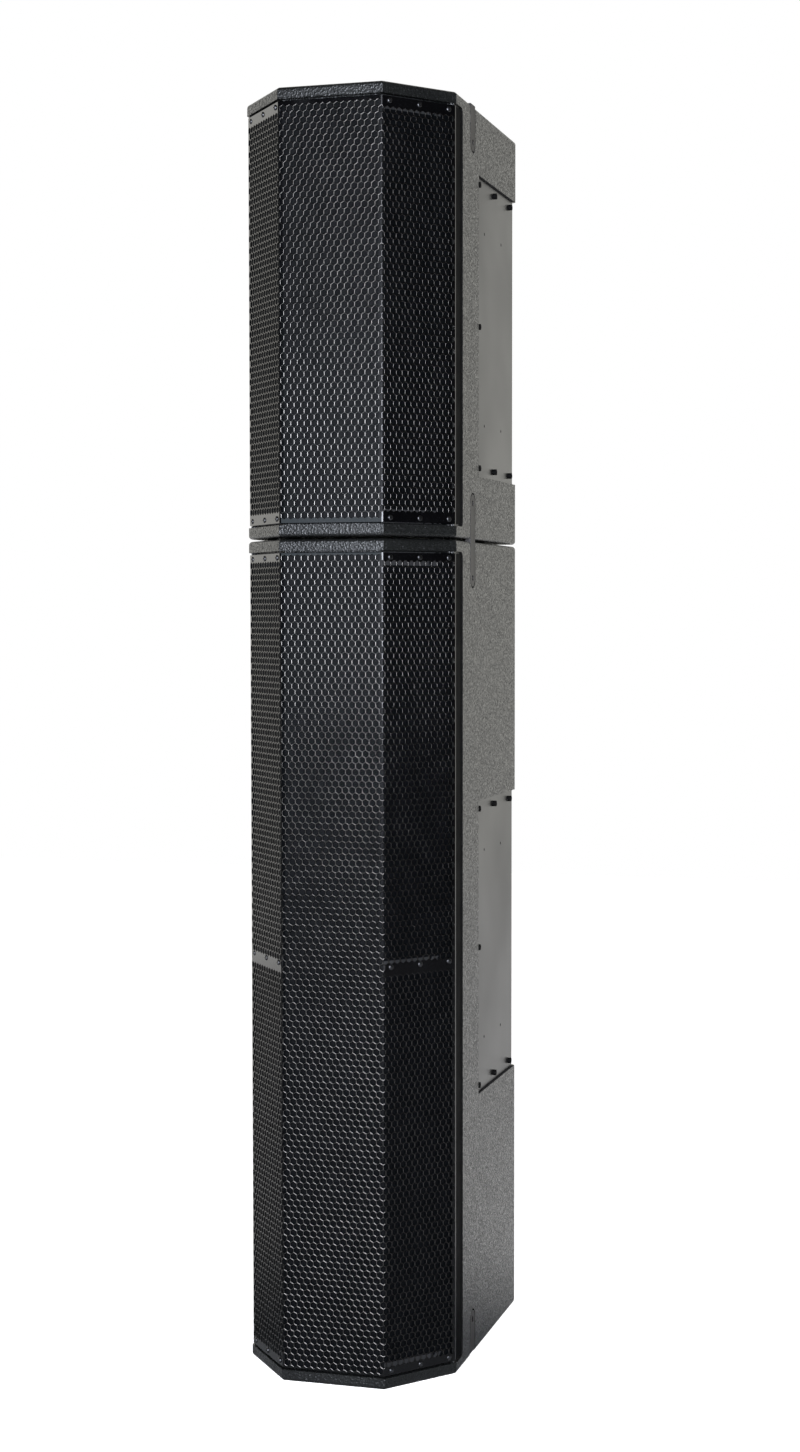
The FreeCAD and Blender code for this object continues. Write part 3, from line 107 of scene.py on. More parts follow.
# Noise keeps near the middle of its range, so only that part of it is used: the grain's, the slow change's and
# that of both added up. The gloss goes up and down by GLOSS_CHANGE with the slow change.
GRAIN_SPREAD = {"From Min": 0.35, "From Max": 0.65}
SLOW_SPREAD = {"From Min": 0.3, "From Max": 0.7}
BOTH_SPREAD = {"From Min": 0.75, "From Max": 1.25}
GLOSS_CHANGE = 0.05


def hexed(code):
    """Linear colour of an sRGB hex code."""
    parts = [int(code[i:i + 2], 16) / 255 for i in (0, 2, 4)]
    return [v / 12.92 if v <= 0.04045 else ((v + 0.055) / 1.055) ** 2.4 for v in parts] + [1.0]


def add(tree, kind, inputs=None, **settings):
    """Adds a node: settings are its properties, inputs its sockets' values or the outputs linked to them."""
    made = tree.nodes.new(kind)
    for name, value in settings.items():
        setattr(made, name, value)
    for name, value in (inputs or {}).items():
        if isinstance(value, bpy.types.NodeSocket):
            tree.links.new(value, made.inputs[name])
        else:
            made.inputs[name].default_value = value
    return made


def material(name, roughness, metallic=0.0, **sockets):
    """A new material with one surface shader.

    Gives the material, its tree, the shader and the place in the object's own coordinates.
    """
    made = bpy.data.materials.new(name)
    made.use_nodes = True
    tree = made.node_tree
    shader = tree.nodes["Principled BSDF"]
    shader.inputs["Roughness"].default_value = roughness
    shader.inputs["Metallic"].default_value = metallic
    for socket, value in sockets.items():
        shader.inputs[socket.replace("_", " ")].default_value = value
    place = add(tree, "ShaderNodeTexCoord").outputs["Object"]
    return made, tree, shader, place


def grained(
    name, colours, roughness, grain, relief, metallic=0.0, stretch=(1, 1, 1), patch=60.0,
    speckle=0.0, layers=3.0, painted_shade_before=None, **sockets,
):
    """A surface of one stuff with a grain of so many mm, raised by relief in mm.

    colours are the dark and the light of the grain; patch is the size in mm of the slow change over it, and
    stretch its scale along each axis. layers is how many times finer grain is laid over the coarsest.
    Gloss follows the slow change, or with a speckle it follows the grain, up and down by that much.
    With the last argument, a place in m along Y, the walls of slots and rebates ahead of it are painted matt
    black: painted shade.
    """
    made, tree, shader, place = material(name, roughness, metallic, **sockets)
    drawn = add(tree, "ShaderNodeMapping", {"Vector": place, "Scale": stretch}).outputs["Vector"]
    fine = add(tree, "ShaderNodeTexNoise", {"Vector": drawn, "Scale": 1000 / grain, "Detail": layers})
    slow = add(tree, "ShaderNodeTexNoise", {"Vector": drawn, "Scale": 1000 / patch, "Detail": 2.0})
    both = add(tree, "ShaderNodeMath", {0: fine.outputs["Fac"], 1: slow.outputs["Fac"]}, operation="ADD")
    share = add(tree, "ShaderNodeMapRange", {"Value": both.outputs[0], **BOTH_SPREAD})
    blend = add(
        tree, "ShaderNodeMix",
        {0: share.outputs[0], 6: hexed(colours[0]), 7: hexed(colours[1])}, data_type="RGBA",
    )
    if speckle:
        gloss = add(
            tree, "ShaderNodeMapRange",
            {"Value": fine.outputs["Fac"], **GRAIN_SPREAD,
             "To Min": roughness + speckle, "To Max": roughness - speckle},
        )
    else:
        gloss = add(
            tree, "ShaderNodeMapRange",
            {"Value": slow.outputs["Fac"], **SLOW_SPREAD,
             "To Min": roughness - GLOSS_CHANGE, "To Max": roughness + GLOSS_CHANGE},
        )
    colour, roughs = blend.outputs[2], gloss.outputs[0]
    # Painted shade: the walls of slots and rebates turn matt black and fully rough, where shade falls in them.
    if painted_shade_before:
        facing_out = add(tree, "ShaderNodeNewGeometry").outputs["True Normal"]
        sideways = add(tree, "ShaderNodeSeparateXYZ", {0: facing_out}).outputs["X"]
        either_side = add(tree, "ShaderNodeMath", {0: sideways}, operation="ABSOLUTE").outputs[0]
        wall = add(
            tree, "ShaderNodeMath", {0: either_side, 1: PAINTED_SHADE_ACROSS}, operation="LESS_THAN"
        ).outputs[0]
        back = add(tree, "ShaderNodeSeparateXYZ", {0: place}).outputs["Y"]
        ahead = add(tree, "ShaderNodeMath", {0: back, 1: painted_shade_before}, operation="LESS_THAN").outputs[0]
        painted_shade = add(tree, "ShaderNodeMath", {0: wall, 1: ahead}, operation="MULTIPLY").outputs[0]
        colour = add(
            tree, "ShaderNodeMix", {0: painted_shade, 6: colour, 7: hexed(PAINTED_SLOT_SHADE)}, data_type="RGBA"
        ).outputs[2]
        roughs = add(tree, "ShaderNodeMix", {0: painted_shade, 2: roughs, 3: 1.0}).outputs[0]
    tree.links.new(colour, shader.inputs["Base Color"])
    tree.links.new(roughs, shader.inputs["Roughness"])
    bump = add(
        tree, "ShaderNodeBump", {"Height": fine.outputs["Fac"], "Distance": relief * MM, "Strength": 1.0}
    )
    tree.links.new(bump.outputs[0], shader.inputs["Normal"])
    return made


# Polyurethane spray paint, sprayed in two passes: a fine pebbled skin that breaks up every highlight. The
# pebbles are really about 1 mm, too fine to show on a thing this tall, so they are drawn at 3 mm.
paint = grained(
    "textured_polyurethane_paint", ("0a0b0b", "171817"), 0.35, 3.0, 1.3, patch=140, speckle=0.13, layers=1.5,
    IOR=1.42,
)
# The same paint on the sides, with painted shade: the walls of routed slots and rebates are painted matt
# black.
side_paint = grained(
    "textured_paint_with_painted_shade_in_rebates", ("0a0b0b", "171817"), 0.35, 3.0, 1.3, patch=140, speckle=0.16,
    layers=1.5, painted_shade_before=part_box("lower_right_side")[1].y - SIDE_REAR_EDGE, IOR=1.42,
)
# Aluminium sheet, sprayed smooth: the same black, with hardly any grain.
chassis_paint = grained("smooth_sprayed_aluminium", ("1a1a19", "1e1e1d"), 0.34, 0.8, 0.01, patch=200)
# Steel bar, sprayed smooth and a little warmer where primer shows through.
bar_paint = grained("smooth_sprayed_steel_bar", ("1c1917", "211d1b"), 0.52, 0.9, 0.012, patch=90)
# Perforated steel, powder coated: a hard black skin with a clear sheen.
coat = grained("powder_coated_perforated_steel", ("020203", "050506"), 0.16, 1.1, 0.004, patch=35, IOR=1.4)
# The same steel where the punch rolled the hole's edge: the coat is thin there and rubbed bright.
punched_edge = grained(
    "burnished_punched_steel", ("4b4947", "585653"), 0.18, 1.1, 0.006, metallic=1.0, patch=35
)
# The wall of a punched hole, which the spray reaches only thinly: dull and dark.
hole_wall = grained("thinly_coated_hole_wall", ("060708", "0a0b0d"), 0.6, 1.1, 0.01, patch=35, IOR=1.25)
# The flanges, tucked beside the wood: only the dull first coat is there.
flange_coat = grained("first_coat_on_the_flange", ("060708", "0a0b0c"), 0.6, 1.1, 0.004, patch=35, IOR=1.07)
# Polyurethane foam, open cell: dull, with pores that swallow the light.
foam = grained("open_cell_foam", ("040506", "07080a"), 0.4, 1.4, 0.08, patch=25, IOR=1.16)

# Finishes of the material slots.
FINISHES = {
    "cabinet_paint": paint,
    "chassis_sheet": chassis_paint,
    "link_steel": bar_paint,
    "bolt_steel": bar_paint,
    "grille_steel": coat,
    "foam": foam,
    # Birch plywood, sanded: long pale grain.
    "raw_plywood": grained(
        "sanded_birch_plywood", ("b08d5e", "cdb083"), 0.6, 2.0, 0.03, stretch=(1, 1, 0.08)
    ),
    # Birch plywood, rolled with thin black paint: the grain still shows through.
    "black_plywood": grained(
        "black_painted_plywood", ("0f0f10", "1d1d1e"), 0.7, 2.0, 0.05, stretch=(1, 1, 0.08)
    ),
    # Folded steel tray, powder coated with a fine leathery skin.
    "tray_sheet": grained("powder_coated_tray", ("17181a", "212225"), 0.5, 1.2, 0.06),
    # Screws, blacked in hot oxide and oiled: dark steel with a soft sheen.
    "black_fastener": grained(
        "black_oxide_steel", ("464648", "585859"), 0.34, 0.5, 0.01, metallic=1.0, patch=6
    ),
    # Threaded inserts, zinc plated: bright and slightly yellow.
    "insert_steel": grained(
        "zinc_plated_steel", ("a8a596", "c4c2b4"), 0.32, 0.6, 0.01, metallic=1.0, patch=6
    ),
    # Rubber, moulded: a dusty bloom over black.
    "rubber": grained("moulded_rubber", ("161616", "202021"), 0.75, 0.9, 0.03, patch=12),
    # Pressed steel baskets, black electrocoat.
    "basket_steel": grained("electrocoated_steel", ("131314", "1b1b1c"), 0.35, 0.8, 0.01, patch=15),
    # Ferrite ring magnets, sintered: matt grey-black, finely chipped.
    "ferrite": grained("sintered_ferrite", ("2a2a2c", "3a3a3d"), 0.7, 0.7, 0.04, patch=10),
    # Cones, pressed from paper pulp: fibrous and matt.
    "cone_paper": grained("pressed_paper_pulp", ("18181a", "2c2c2e"), 0.85, 1.0, 0.08, patch=8),
    # Horns, moulded in glass-filled plastic.
    "waveguide_plastic": grained("glass_filled_plastic", ("19191b", "222225"), 0.5, 0.7, 0.03, patch=20),
    # Compression drivers, die cast and bead blasted.
    "driver_casting": grained(
        "bead_blasted_casting", ("6d6e70", "87888a"), 0.45, 0.6, 0.03, metallic=0.9, patch=12
    ),
    # Signal sockets, moulded nylon.
    "socket_shell": grained("moulded_nylon", ("1a1b1d", "232427"), 0.42, 0.5, 0.01, patch=10),
    # Mains sockets, moulded nylon, in the blue that marks them as mains.
    "mains_shell": grained("moulded_blue_nylon", ("2b4a86", "36569a"), 0.42, 0.5, 0.01, patch=10),
    # Switch bezel and rocker, ABS straight from a polished mould.
    "switch_plastic": grained("glossy_abs", ("161617", "1c1c1d"), 0.25, 0.5, 0.004, patch=10),
    "rocker_plastic": grained("satin_abs", ("1a1a1b", "232325"), 0.35, 0.5, 0.006, patch=8),
    # Knob, soft-touch lacquer over ABS.
    "knob_plastic": grained("soft_touch_lacquer", ("1d1d1f", "272729"), 0.6, 0.6, 0.01, patch=6),
    # Latch tabs, die-cast zinc, tumbled.
    "latch_metal": grained("tumbled_zinc", ("9b9c9d", "b4b5b6"), 0.34, 0.6, 0.01, metallic=1.0, patch=5),
    # Indicator lenses, polished acrylic.
    "indicator_lens": grained("green_acrylic", ("2f8f4a", "4fb56a"), 0.12, 0.6, 0.002, patch=3),
    # Potentiometer cans, drawn steel, nickel plated.
    "pot_body": grained("nickel_plated_can", ("a9a8a4", "bfbeba"), 0.28, 0.5, 0.006, metallic=1.0, patch=6),
    # Circuit boards, glass-epoxy under green solder resist.
    "circuit_board": grained("glass_epoxy_board", ("1d4a2c", "2a6240"), 0.35, 0.8, 0.01, patch=9),
}

# Screws and plugs on the plates, phosphated and left dry: flat black dots with no highlight.
dry_black = grained("dry_phosphated_steel", ("060606", "0a0a0a"), 0.8, 0.6, 0.01, patch=6, IOR=1.2)

# Where a node's finish isn't the usual one of its material slot.
OWN_FINISHES = {
    "lower_right_side": side_paint,
    "lower_left_side": side_paint,
    "upper_right_side": side_paint,
    "upper_left_side": side_paint,
    "chassis_screws": dry_black,
    "chassis_dots": dry_black,
}

for part in frame["record"]["subparts"]:
    shown = frame["nodes"][part["node"]]
    shown.data.materials.clear()
    shown.data.materials.append(OWN_FINISHES.get(part["node"], FINISHES[part["material_slot"]]))


# ---------------------------------------------------------------- the folded sheet


def folded_section(low, high):
    """Right half of the grille's outer face in plan, from the front's middle to the flange's edge.

    Gives the runs as (start along the sheet, length, start point, heading, turn): a turn of 0 is straight.
    """
    front = low.y
    side = high.x
    slope = math.atan2(CHAMFER_DEPTH, cad_box[1].x - FRONT_FACET / 2)
    inset = cad_box[0].y - front
    first = FRONT_FACET / 2 + inset * math.tan(slope / 2)
    chamfer = (side - first) / math.cos(slope)
    cut_front = FOLD_R * math.tan(slope / 2)
    cut_side = FOLD_R * math.tan((math.pi / 2 - slope) / 2)
    corner = front + (side - first) * math.tan(slope)
    lengths = (
        (first - cut_front, 0),
        (FOLD_R * slope, slope),
        (chamfer - cut_front - cut_side, 0),
        (FOLD_R * (math.pi / 2 - slope), math.pi / 2 - slope),
        (high.y - corner - cut_side, 0),
    )
    runs = []
    along, heading, point = 0.0, 0.0, Vector((0, front))
    for length, turn in lengths:
        runs.append((along, length, point.copy(), heading, turn))
        if turn:
            inner = point + FOLD_R * Vector((-math.sin(heading), math.cos(heading)))
            heading += turn
            point = inner + FOLD_R * Vector((math.sin(heading), -math.cos(heading)))
        else:
            point = point + length * Vector((math.cos(heading), math.sin(heading)))
        along += length
    return runs


def on_sheet(runs, u, depth):
    """Plan point at a distance u along the outer face from the middle, and a depth behind that face."""
    reach = abs(u)
    along, length, start, heading, turn = [run for run in runs if run[0] <= reach + ON_RUN][-1]
    past = reach - along
    if turn:
        inner = start + FOLD_R * Vector((-math.sin(heading), math.cos(heading)))
        heading += past / FOLD_R
        point = inner + (FOLD_R - depth) * Vector((math.sin(heading), -math.cos(heading)))
    else:
        point = start + past * Vector((math.cos(heading), math.sin(heading)))
        point += depth * Vector((-math.sin(heading), math.cos(heading)))
    return Vector((math.copysign(point.x, u), point.y))


def hole_rows(z0, z1):
    """Heights of the rows of holes, even about the sheet's middle, with a plain edge at both ends."""
    count = int((z1 - z0 - HOLE_WIDTH - 2 * SHEET_T) / ROW_PITCH) + 1    # SHEET_T is kept plain at each end
    first = (z0 + z1) / 2 - (count - 1) * ROW_PITCH / 2
    return [first + step * ROW_PITCH for step in range(count)]


def perforated_sheet(name, long_module):
    """The grille as a flat honeycomb of holes, given its thickness and then folded.

    Gives the mesh, which way the sheet faces at each corner, and whether that corner is below its face.
    """
    low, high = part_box(name)
    runs = folded_section(low, high)
    z0, z1 = low.z, high.z
    rows = hole_rows(z0, z1)
    last_fold_end = runs[FLANGE][0]
    edge = last_fold_end + runs[FLANGE][1]
    strip_start = FRONT_FACET / 2
    # Behind the screws the chamfers have no holes: at both ends, and on the long grille halfway up too.
    closed_rows = {0, len(rows) - 1}
    if long_module:
        closed_rows |= {len(rows) // 2 - 1, len(rows) // 2}
    corner_r = HOLE_WIDTH / math.sqrt(3)
    half_cells = math.ceil(last_fold_end / (HOLE_PITCH / 2)) + 2

    flat = bmesh.new()
    corners = {}
    rolled_r = corner_r + ROLLED_EDGE * 2 / math.sqrt(3)

    def corner(q, j, k):
        """Corner k of the hole at column q and row j, anticlockwise from the upper right."""
        if (q, j, k) not in corners:
            angle = math.radians(30 + 60 * k)
            u = q * HOLE_PITCH / 2 + rolled_r * math.cos(angle)
            z = rows[0] + j * ROW_PITCH + rolled_r * math.sin(angle)
            corners[q, j, k] = flat.verts.new((u, 0, z))
        return corners[q, j, k]

    def cells():
        """Column and row of every hole; the columns are half a pitch apart and every other one is used."""
        for j in range(-1, len(rows) + 1):
            for q in range(-half_cells, half_cells + 1):
                if (q - j) % 2 == 0:
                    yield q, j

    for q, j in cells():
        east, north_east, north_west = (q + 2, j), (q + 1, j + 1), (q - 1, j + 1)
        if abs(east[0]) <= half_cells:
            flat.faces.new((corner(q, j, 5), corner(*east, 3), corner(*east, 2), corner(q, j, 0)))
        if j < len(rows):
            if north_east[0] <= half_cells:
                flat.faces.new(
                    (corner(q, j, 0), corner(*north_east, 4), corner(*north_east, 3), corner(q, j, 1))
                )
            if north_west[0] >= -half_cells:
                flat.faces.new(
                    (corner(q, j, 1), corner(*north_west, 5), corner(*north_west, 4), corner(q, j, 2))
                )
            if north_east[0] <= half_cells and north_west[0] >= -half_cells:
                flat.faces.new((corner(q, j, 1), corner(*north_east, 3), corner(*north_west, 5)))
            if east[0] <= half_cells:
                flat.faces.new((corner(q, j, 0), corner(*east, 2), corner(*north_east, 4)))
        # Past the ends and beyond the last fold the sheet is whole, so those holes are filled.
        centre = abs(q) * HOLE_PITCH / 2
        outside = j < 0 or j >= len(rows) or centre + HOLE_WIDTH / 2 > last_fold_end
        if outside or (j in closed_rows and centre > strip_start):
            flat.faces.new([corner(q, j, k) for k in range(6)])

    def sliced(point, normal, drop=False):
        """Cuts the sheet along a plane, and drops what lies beyond it if asked to."""
        geometry = flat.verts[:] + flat.edges[:] + flat.faces[:]
        bmesh.ops.bisect_plane(
            flat, geom=geometry, dist=ON_CUT, plane_co=point, plane_no=normal, clear_outer=drop
        )

    sliced((0, 0, z1), (0, 0, 1), True)
    sliced((0, 0, z0), (0, 0, -1), True)
    flange_start = last_fold_end + SHEET_T / 2
    for side in (-1, 1):
        sliced((side * flange_start, 0, 0), (side, 0, 0), True)
        for start, length, *_ in (runs[FRONT_FOLD], runs[SIDE_FOLD]):
            for share in FOLD_SHARES:
                sliced((side * (start + share * length), 0, 0), (1, 0, 0))
    for step in range(1, CORNER_STEPS):
        rise = FLANGE_R * (1 - math.cos(step * math.pi / (2 * CORNER_STEPS)))
        sliced((0, 0, z0 + rise), (0, 0, 1))
        sliced((0, 0, z1 - rise), (0, 0, 1))

    # The flanges carry on from the last cut, with their free corners rounded.
    border = [
        e for e in flat.edges
        if e.is_boundary and all(abs(abs(v.co.x) - flange_start) < SAME for v in e.verts)
    ]
    grown = bmesh.ops.extrude_edge_only(flat, edges=border)["geom"]
    for v in (g for g in grown if isinstance(g, bmesh.types.BMVert)):
        from_end = min(v.co.z - z0, z1 - v.co.z, FLANGE_R)
        shy = FLANGE_R - math.sqrt(max(0.0, FLANGE_R ** 2 - (FLANGE_R - from_end) ** 2))
        v.co.x = math.copysign(edge - shy, v.co.x)

    bmesh.ops.remove_doubles(flat, verts=flat.verts[:], dist=SAME)
    bmesh.ops.recalc_face_normals(flat, faces=flat.faces[:])
    faces = flat.faces[:]
    if sum(f.normal.y for f in faces) > 0:
        bmesh.ops.reverse_faces(flat, faces=faces)
    rims = [e for e in flat.edges if e.is_boundary]
    outline = {
        v for e in rims for v in e.verts
        if min(v.co.z - z0, z1 - v.co.z) < SAME or abs(v.co.x) > flange_start + SAME
    }
    copy = bmesh.ops.duplicate(flat, geom=flat.verts[:] + flat.edges[:] + faces)
    twin = copy["vert_map"]
    for v in [g for g in copy["geom"] if isinstance(g, bmesh.types.BMVert)]:
        v.co.y = SHEET_T
    bmesh.ops.reverse_faces(flat, faces=[g for g in copy["geom"] if isinstance(g, bmesh.types.BMFace)])

    # A hole's edge is rolled over on the front: its wall starts a little inside and below the face.
    walls = {}

    def nearest_hole(place):
        """Column and row of the hole whose rim a point is on."""
        j = (place.z - rows[0]) / ROW_PITCH
        around = [
            (q, row)
            for row in (math.floor(j), math.floor(j) + 1)
            for q in range(round(place.x * 2 / HOLE_PITCH) - 2, round(place.x * 2 / HOLE_PITCH) + 3)
            if (q - row) % 2 == 0
        ]
        return min(
            around,
            key=lambda c: math.hypot(place.x - c[0] * HOLE_PITCH / 2, place.z - rows[0] - c[1] * ROW_PITCH),
        )

    def wall_top(v):
        """The corner where a hole's wall starts, below a corner of its rim."""
        if v not in walls:
            q, j = nearest_hole(v.co)
            across = Vector((v.co.x - q * HOLE_PITCH / 2, 0, v.co.z - rows[0] - j * ROW_PITCH))
            inward = across * (1 - corner_r / rolled_r)
            walls[v] = flat.verts.new(v.co - inward + Vector((0, ROLLED_EDGE, 0)))
        return walls[v]

    for e in rims:
        a, b = e.verts
        if a in outline and b in outline:
            flat.faces.new((b, a, twin[a], twin[b]))
            continue
        top_a, top_b = wall_top(a), wall_top(b)
        flat.faces.new((b, a, top_a, top_b)).material_index = EDGE_SLOT
        flat.faces.new((top_b, top_a, twin[a], twin[b])).material_index = WALL_SLOT
    for face in flat.faces:
        if all(abs(v.co.x) > flange_start - SAME for v in face.verts):
            face.material_index = FLANGE_SLOT

    def set_order(elements, place):
        """Puts points, edges or faces in the order of their places."""
        rank = {element: count for count, element in enumerate(sorted(elements, key=place))}
        elements.sort(key=rank.get)
        elements.index_update()

    # Cuts and extrusions add points and faces in an order that changes from run to run, so it is set here.
    set_order(flat.verts, lambda v: v.co[:])
    set_order(flat.edges, lambda e: (e.verts[0].co + e.verts[1].co)[:])
    set_order(flat.faces, lambda f: f.calc_center_median()[:])
    facing = [
        (on_sheet(runs, v.co.x, 0) - on_sheet(runs, v.co.x, MM)).normalized().to_3d() for v in flat.verts
    ]
    sunk = [v.co.y > SAME for v in flat.verts]
    for v in flat.verts:
        plan = on_sheet(runs, v.co.x, v.co.y)
        v.co = (plan.x, plan.y, v.co.z)
    bmesh.ops.recalc_face_normals(flat, faces=flat.faces[:])
    return flat, facing, sunk


def shade_sheet(data, facing, sunk):
    """Smooth folds, flat walls, and hole edges that turn from the sheet's face into the wall."""
    data.shade_smooth()
    normals = []
    for face in data.polygons:
        for corner in face.vertices:
            out = facing[corner]
            along = face.normal.dot(out)
            if face.material_index == EDGE_SLOT:
                turned = EDGE_TURN[1 if sunk[corner] else 0]
                inward = (face.normal - along * out).normalized()
                normals.append(math.cos(turned) * out + math.sin(turned) * inward)
            elif face.material_index in (COAT_SLOT, FLANGE_SLOT) and abs(along) > FACE_ALONG:
                normals.append(out if along > 0 else -out)
            else:
                normals.append(face.normal)
    data.normals_split_custom_set(normals)


def piece(name, mesh, finish, body="column"):
    """Links a finished mesh as a piece that rides on a body."""
    data = bpy.data.meshes.new(name)
    mesh.to_mesh(data)
    mesh.free()
    data.materials.append(finish)
    made = bpy.data.objects.new(name, data)
    bpy.context.scene.collection.objects.link(made)
    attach(made, body)
    return made


for module in MODULES:
    node = f"{module}_grille"
    mesh, facing, sunk = perforated_sheet(node, module == "lower")
    sheet = piece(f"{module}_perforated_grille", mesh, coat)
    for finish in (punched_edge, hole_wall, flange_coat):
        sheet.data.materials.append(finish)
    shade_sheet(sheet.data, facing, sunk)
    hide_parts(node)


# ---------------------------------------------------------------- foam behind the grilles


def foam_sheet(name):
    """Foam that follows the folds, its open-cell face pressed a little uneven."""
    low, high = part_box(name)
    runs = folded_section(*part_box(name.replace("_foam", "")))
    reach = runs[SIDE_FOLD][0] - FOAM_INSET
    columns = FOAM_COLUMNS
    levels = int((high.z - low.z) / FOAM_LEVEL)
    made = bmesh.new()
    grid = {}
    for face in (0, 1):
        for i in range(columns + 1):
            for j in range(levels + 1):
                u = reach * (2 * i / columns - 1)
                z = low.z + (high.z - low.z) * j / levels
                # Two crossing waves, each about 16 mm long.
                uneven = FOAM_UNEVEN * math.sin(u * 410 + 3 * math.sin(z * 130)) * math.sin(z * 370 + u * 90)
                depth = SHEET_T + FOAM_GAP + uneven if face == 0 else SHEET_T + FOAM_BACK
                plan = on_sheet(runs, u, depth)
                grid[face, i, j] = made.verts.new((plan.x, plan.y, z))

    def quad(*places):
        """A face between four corners of the grid."""
        made.faces.new([grid[place] for place in places])

    for i in range(columns):
        for j in range(levels):
            quad((0, i, j), (0, i + 1, j), (0, i + 1, j + 1), (0, i, j + 1))
            quad((1, i, j + 1), (1, i + 1, j + 1), (1, i + 1, j), (1, i, j))
    for j in range(levels):
        quad((0, 0, j + 1), (1, 0, j + 1), (1, 0, j), (0, 0, j))
        quad((0, columns, j), (1, columns, j), (1, columns, j + 1), (0, columns, j + 1))
    for i in range(columns):
        quad((0, i, 0), (1, i, 0), (1, i + 1, 0), (0, i + 1, 0))
        quad((0, i + 1, levels), (1, i + 1, levels), (1, i, levels), (0, i, levels))
    bmesh.ops.recalc_face_normals(made, faces=made.faces[:])
    return made


for module in MODULES:
    node = f"{module}_grille_foam"
    lining = piece(f"{module}_acoustic_foam", foam_sheet(node), foam)
    lining.data.shade_smooth()
    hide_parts(node)


# ---------------------------------------------------------------- marks and contacts in the rear trays


CONTROL_PITCH = 35 * MM       # between the sockets, switch and dial along the tray
INK_T = 0.12 * MM             # printed ink, built up so that it catches the light

DIAL_CLEAR = 13 * MM          # to the right of and below the dial's middle, where the tray's floor is bare
DIAL_SWEEP = math.radians(300)
DIAL_STEPS = 10
DIAL_MARK = (10.6 * MM, 12.2 * MM)    # where a mark starts and ends, from the knob's middle
DIAL_LONG_END = 13.4 * MM     # where the marks for 0, 5 and 10 end
DIAL_MARK_WIDTH = 0.6 * MM
FIGURES = (("0", -150), ("5", 0), ("10", 150))    # with their angles clockwise from the top
FIGURE_SIZE = 4.2 * MM
FIGURE_RING = 15.8 * MM       # from the knob's middle to a figure's middle
KNOB_LINE = (2.5 * MM, 7.6 * MM)      # where the knob's line starts and ends, from its middle
KNOB_LINE_WIDTH = 1.1 * MM
KNOB_PROBE = 2 * MM           # beside the knob's middle, on its flat face

ROCKER_MARK_RISE = 5 * MM     # the marks' middles above and below the rocker's middle
ON_REACH = 1.6 * MM           # half the height of the mark for on
ON_WIDTH = 0.6 * MM
OFF_RADIUS = 1.5 * MM
OFF_WIDTH = 0.5 * MM

CONTACT_SIDES = 12            # corners round a contact
TIP_START = 1.2 * MM          # from a contact's end to where it starts to narrow
TIP_NARROW = ((0.4 * MM, 0.85), (0, 0.45))    # two sections nearer the end, and their share of the width
# The signal contacts: their circle is repeated from the part's source. Those of the input are pins that end a
# little below the bottom of their holes; those of the link are sleeves round the link's own pins.
SIGNAL_RING = 3.6 * MM
SIGNAL_TURNS = (30, 150, 270)
# Kind, place across the tray, height of the tip above the bottom, diameter.
SIGNAL_KINDS = (
    ("in", 1.5 * CONTROL_PITCH, -0.6 * MM, 1.5 * MM),
    ("link", 2.5 * CONTROL_PITCH, 9.4 * MM, 2.7 * MM),
)
SIGNAL_DEEP = 4 * MM          # how far they go into the bottom
# The mains contacts are blades round the socket's spigot.
MAINS_RING = 7.6 * MM
MAINS_PROBE = 7.7 * MM        # beside the spigot, where the socket's bottom is bare
MAINS_TURNS = (90, 210, 330)
MAINS_KINDS = (("in", -2.5 * CONTROL_PITCH), ("link", -1.5 * CONTROL_PITCH))
MAINS_DEEP = 0.5 * MM
MAINS_STANDS = 11 * MM
BLADE_WIDTH = 4.2 * MM
BLADE_T = 1.2 * MM

# Screen-printed ink on the tray and the rocker: dry, slightly uneven white.
ink = grained("screen_printed_white_ink", ("c4c5c1", "dedfda"), 0.55, 0.7, 0.01, patch=4)
# Socket contacts, turned brass with tin plating that has worn through to yellow.
contact = grained("tin_plated_brass", ("b7a374", "cfc3a0"), 0.24, 0.6, 0.004, metallic=1.0, patch=3)


def surface(node, x, z):
    """Point and normal where a line from behind the column meets a node."""
    _, point, normal, _ = frame["nodes"][node].ray_cast((x, 1, z), (0, -1, 0))
    return point, normal


def raised_marks(name, outlines, point, normal, finish, body):
    """Flat marks of a little thickness on a surface that faces the rear: outlines are in m, right and up."""
    out = normal.normalized()
    right = Vector((-1, 0, 0))
    up = out.cross(right)
    marks = bmesh.new()
    for outline in outlines:
        lower, upper = (
            [marks.verts.new(point + a * right + b * up + rise * out) for a, b in outline]
            for rise in (-INK_T, INK_T)
        )
        marks.faces.new(upper)
        marks.faces.new(lower[::-1])
        for i in range(len(outline)):
            marks.faces.new((lower[i - 1], lower[i], upper[i], upper[i - 1]))
    bmesh.ops.recalc_face_normals(marks, faces=marks.faces[:])
    return piece(name, marks, finish, body)


def bar_outline(angle, near, far, width):
    """A straight mark that points away from the middle, at an angle clockwise from the top."""
    along = Vector((math.sin(angle), math.cos(angle)))
    aside = Vector((along.y, -along.x)) * width / 2
    return [along * near - aside, along * near + aside, along * far + aside, along * far - aside]


def ring_outlines(radius, width, sides=24):
    """A ring as a run of short straight marks."""
    angles = [2 * math.pi * i / sides for i in range(sides + 1)]
    spots = [Vector((math.sin(angle), math.cos(angle))) for angle in angles]
    inner, outer = radius - width / 2, radius + width / 2
    return [[a * inner, b * inner, b * outer, a * outer] for a, b in zip(spots, spots[1:])]


